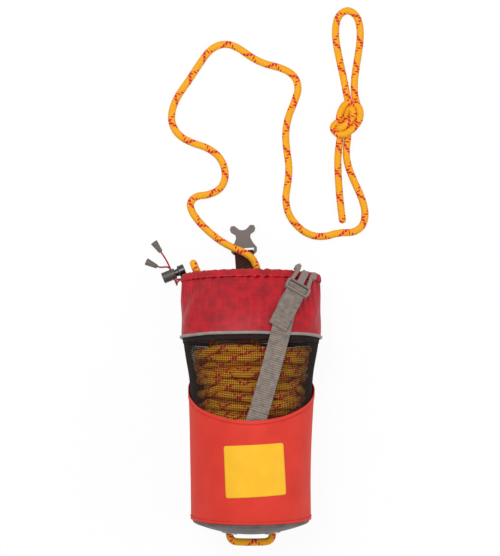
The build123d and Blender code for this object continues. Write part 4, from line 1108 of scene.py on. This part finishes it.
# %% Build the strap and its folded tail
strap_route = strap_line + lay(BAR, buckle_axes, fold_line[:4])
strap = ribbon("webbing_strap", route_line("strap", strap_route), strap_axes[1], buckle_axes[1],
               WEB_WIDTH, WEB_THICK, WEB_RIB)
place_piece(strap, webbing, "strap", ["closing_strap"])
tail = ribbon("webbing_tail", route_line("tail", lay(BAR, buckle_axes, fold_line[3:] + tail_line)),
              buckle_axes[1], buckle_axes[1], WEB_WIDTH, WEB_THICK, WEB_RIB)
place_piece(tail, webbing, "strap")
hem_line = [(d, clear_height(BAR, buckle_axes, d, 6.4)) for d in (-45, -55, -66)]
tail_hem = ribbon("webbing_tail_hem", lay(BAR, buckle_axes, hem_line), buckle_axes[1],
                  buckle_axes[1], WEB_WIDTH - 0.4, 1.2, TAB_RIB)
place_piece(tail_hem, webbing, "strap")


# %% Bar-tack stitches on the folded tail
TACK_ROWS, TACKS_ACROSS = 3, 22


def tack_place(k):
    """Zigzag threads in three rows across the tail."""
    row, column = divmod(k, TACKS_ACROSS)
    distance = -50 - row * 5
    ends = []
    for share, shift in ((0.1, -1), (0.9, 1)):
        across = (column + share) / TACKS_ACROSS - 0.5
        height = clear_height(BAR, buckle_axes, distance, 7.2)
        point = BAR + buckle_axes[0] * (distance + shift) + buckle_axes[2] * height
        ends.append(point + buckle_axes[1] * across * (WEB_WIDTH - 4))
    return ends


stitch_row("tail_bar_tacks", tack_place, TACK_ROWS * TACKS_ACROSS, 0.25, grey_thread, "strap")

# %% Build the socket buckle's tab
SOCKET_BAR = np.array((-9, 197, 4.7))
TAB_AXES = [np.array(axis) for axis in
            ((-0.069756, 0.997564, 0), (0.997564, 0.069756, 0), (0, 0, 1))]
TAB_RADIUS = 2.85
tab_fold = [(TAB_RADIUS * sin(a), -TAB_RADIUS * cos(a)) for a in np.linspace(0, pi, 9)]
tab_line = [(-35.8, -3.8), (-20, -3.8), (-12, -3.75), (-4, -2.85)] + tab_fold
tab_line += [(-4, 2.7), (-12, 0.6), (-20, -1.6), (-35.8, -2.1)]
tab = ribbon("webbing_tab", route_line("tab", lay(SOCKET_BAR, TAB_AXES, tab_line)), TAB_AXES[1],
             TAB_AXES[1], WEB_WIDTH, WEB_THICK, TAB_RIB)
place_piece(tab, webbing_with_painted_shade, "bag", ["buckle_tab"])

# %% [markdown]
# ## Hard pieces from the frame
# The buckles, lock, tips, eyelets and base are hard and already have their true shape,
# so they keep their CAD meshes and get a finish.

# %% Finish the CAD pieces
for node, material in (
    ("buckle_male", strap_plastic), ("buckle_female", buckle_plastic),
    ("cord_lock_body", lock_plastic), ("cord_lock_plunger", cap_plastic),
    ("cord_lock_spring", spring_metal), ("cord_tip_upper", tip_plastic),
    ("cord_tip_lower", tip_plastic), ("base_panel", base_cloth), ("base_foam", foam),
    ("base_eyelets", eyelet_metal), ("inner_knot", base_cloth),
):
    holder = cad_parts[node]
    holder.data.materials.clear()
    holder.data.materials.append(material)
print("CAD pieces finished")

# %% [markdown]
# ## Floor, light and background
# A plain white table with a faint shadow. The camera sees the floor mixed with plain
# white, so the background stays white without more light on the bag. A broad lamp
# above, one at the side and an even sky give soft modelling.

# %% Build the floor
FLOOR_HALF, FLOOR_WHITE, SKY_LIGHT = 6.0, 0.93, 0.55


def seen_rays(tree):
    """1 for rays that reach the camera straight, off a gloss or through a clear piece."""
    rays = tree.nodes.new("ShaderNodeLightPath")
    seen = calc(tree, "MAXIMUM", rays.outputs["Is Camera Ray"], rays.outputs["Is Glossy Ray"])
    return calc(tree, "MAXIMUM", seen, rays.outputs["Is Transmission Ray"])


floor_mesh = bpy.data.meshes.new("floor")
floor_mesh.from_pydata(
    [(x * FLOOR_HALF, y * FLOOR_HALF, -0.0003) for x, y in ((-1, -1), (1, -1), (1, 1), (-1, 1))],
    [], [(0, 1, 2, 3)],
)
floor_piece = bpy.data.objects.new("floor", floor_mesh)
bpy.context.scene.collection.objects.link(floor_piece)
floor_material = bpy.data.materials.new("white_table")
floor_material.use_nodes = True
tree = floor_material.node_tree
tree.nodes.clear()
output = tree.nodes.new("ShaderNodeOutputMaterial")
white = tree.nodes.new("ShaderNodeEmission")
matt = tree.nodes.new("ShaderNodeBsdfDiffuse")
matt.inputs["Color"].default_value = (0.92, 0.92, 0.92, 1)
mixed = tree.nodes.new("ShaderNodeMixShader")
tree.links.new(calc(tree, "MULTIPLY", seen_rays(tree), FLOOR_WHITE), mixed.inputs["Fac"])
tree.links.new(matt.outputs[0], mixed.inputs[1])
tree.links.new(white.outputs[0], mixed.inputs[2])
tree.links.new(mixed.outputs[0], output.inputs["Surface"])
floor_mesh.materials.append(floor_material)

# %% Light it
world = bpy.data.worlds.new("studio")
bpy.context.scene.world = world
world.use_nodes = True
tree = world.node_tree
sky = tree.nodes["Background"]
strength = calc(tree, "MULTIPLY_ADD", seen_rays(tree), 1 - SKY_LIGHT, SKY_LIGHT)
tree.links.new(strength, sky.inputs["Strength"])
sky.inputs["Color"].default_value = (1, 1, 1, 1)


def lamp(name, place, aim, size, power):
    """A square area lamp that points at a place."""
    data = bpy.data.lights.new(name, "AREA")
    data.size, data.energy = size, power
    holder = bpy.data.objects.new(name, data)
    holder.location = place
    holder.rotation_euler = (Vector(aim) - Vector(place)).to_track_quat("-Z", "Y").to_euler()
    bpy.context.scene.collection.objects.link(holder)


lamp("top_lamp", (-0.5, 0.9, 2.0), (0, 0, 0.05), 1.2, 26)
lamp("side_lamp", (1.6, -0.2, 1.4), (0, 0, 0.05), 1.0, 9)
bpy.context.scene.view_settings.view_transform = "Standard"
print("lit")
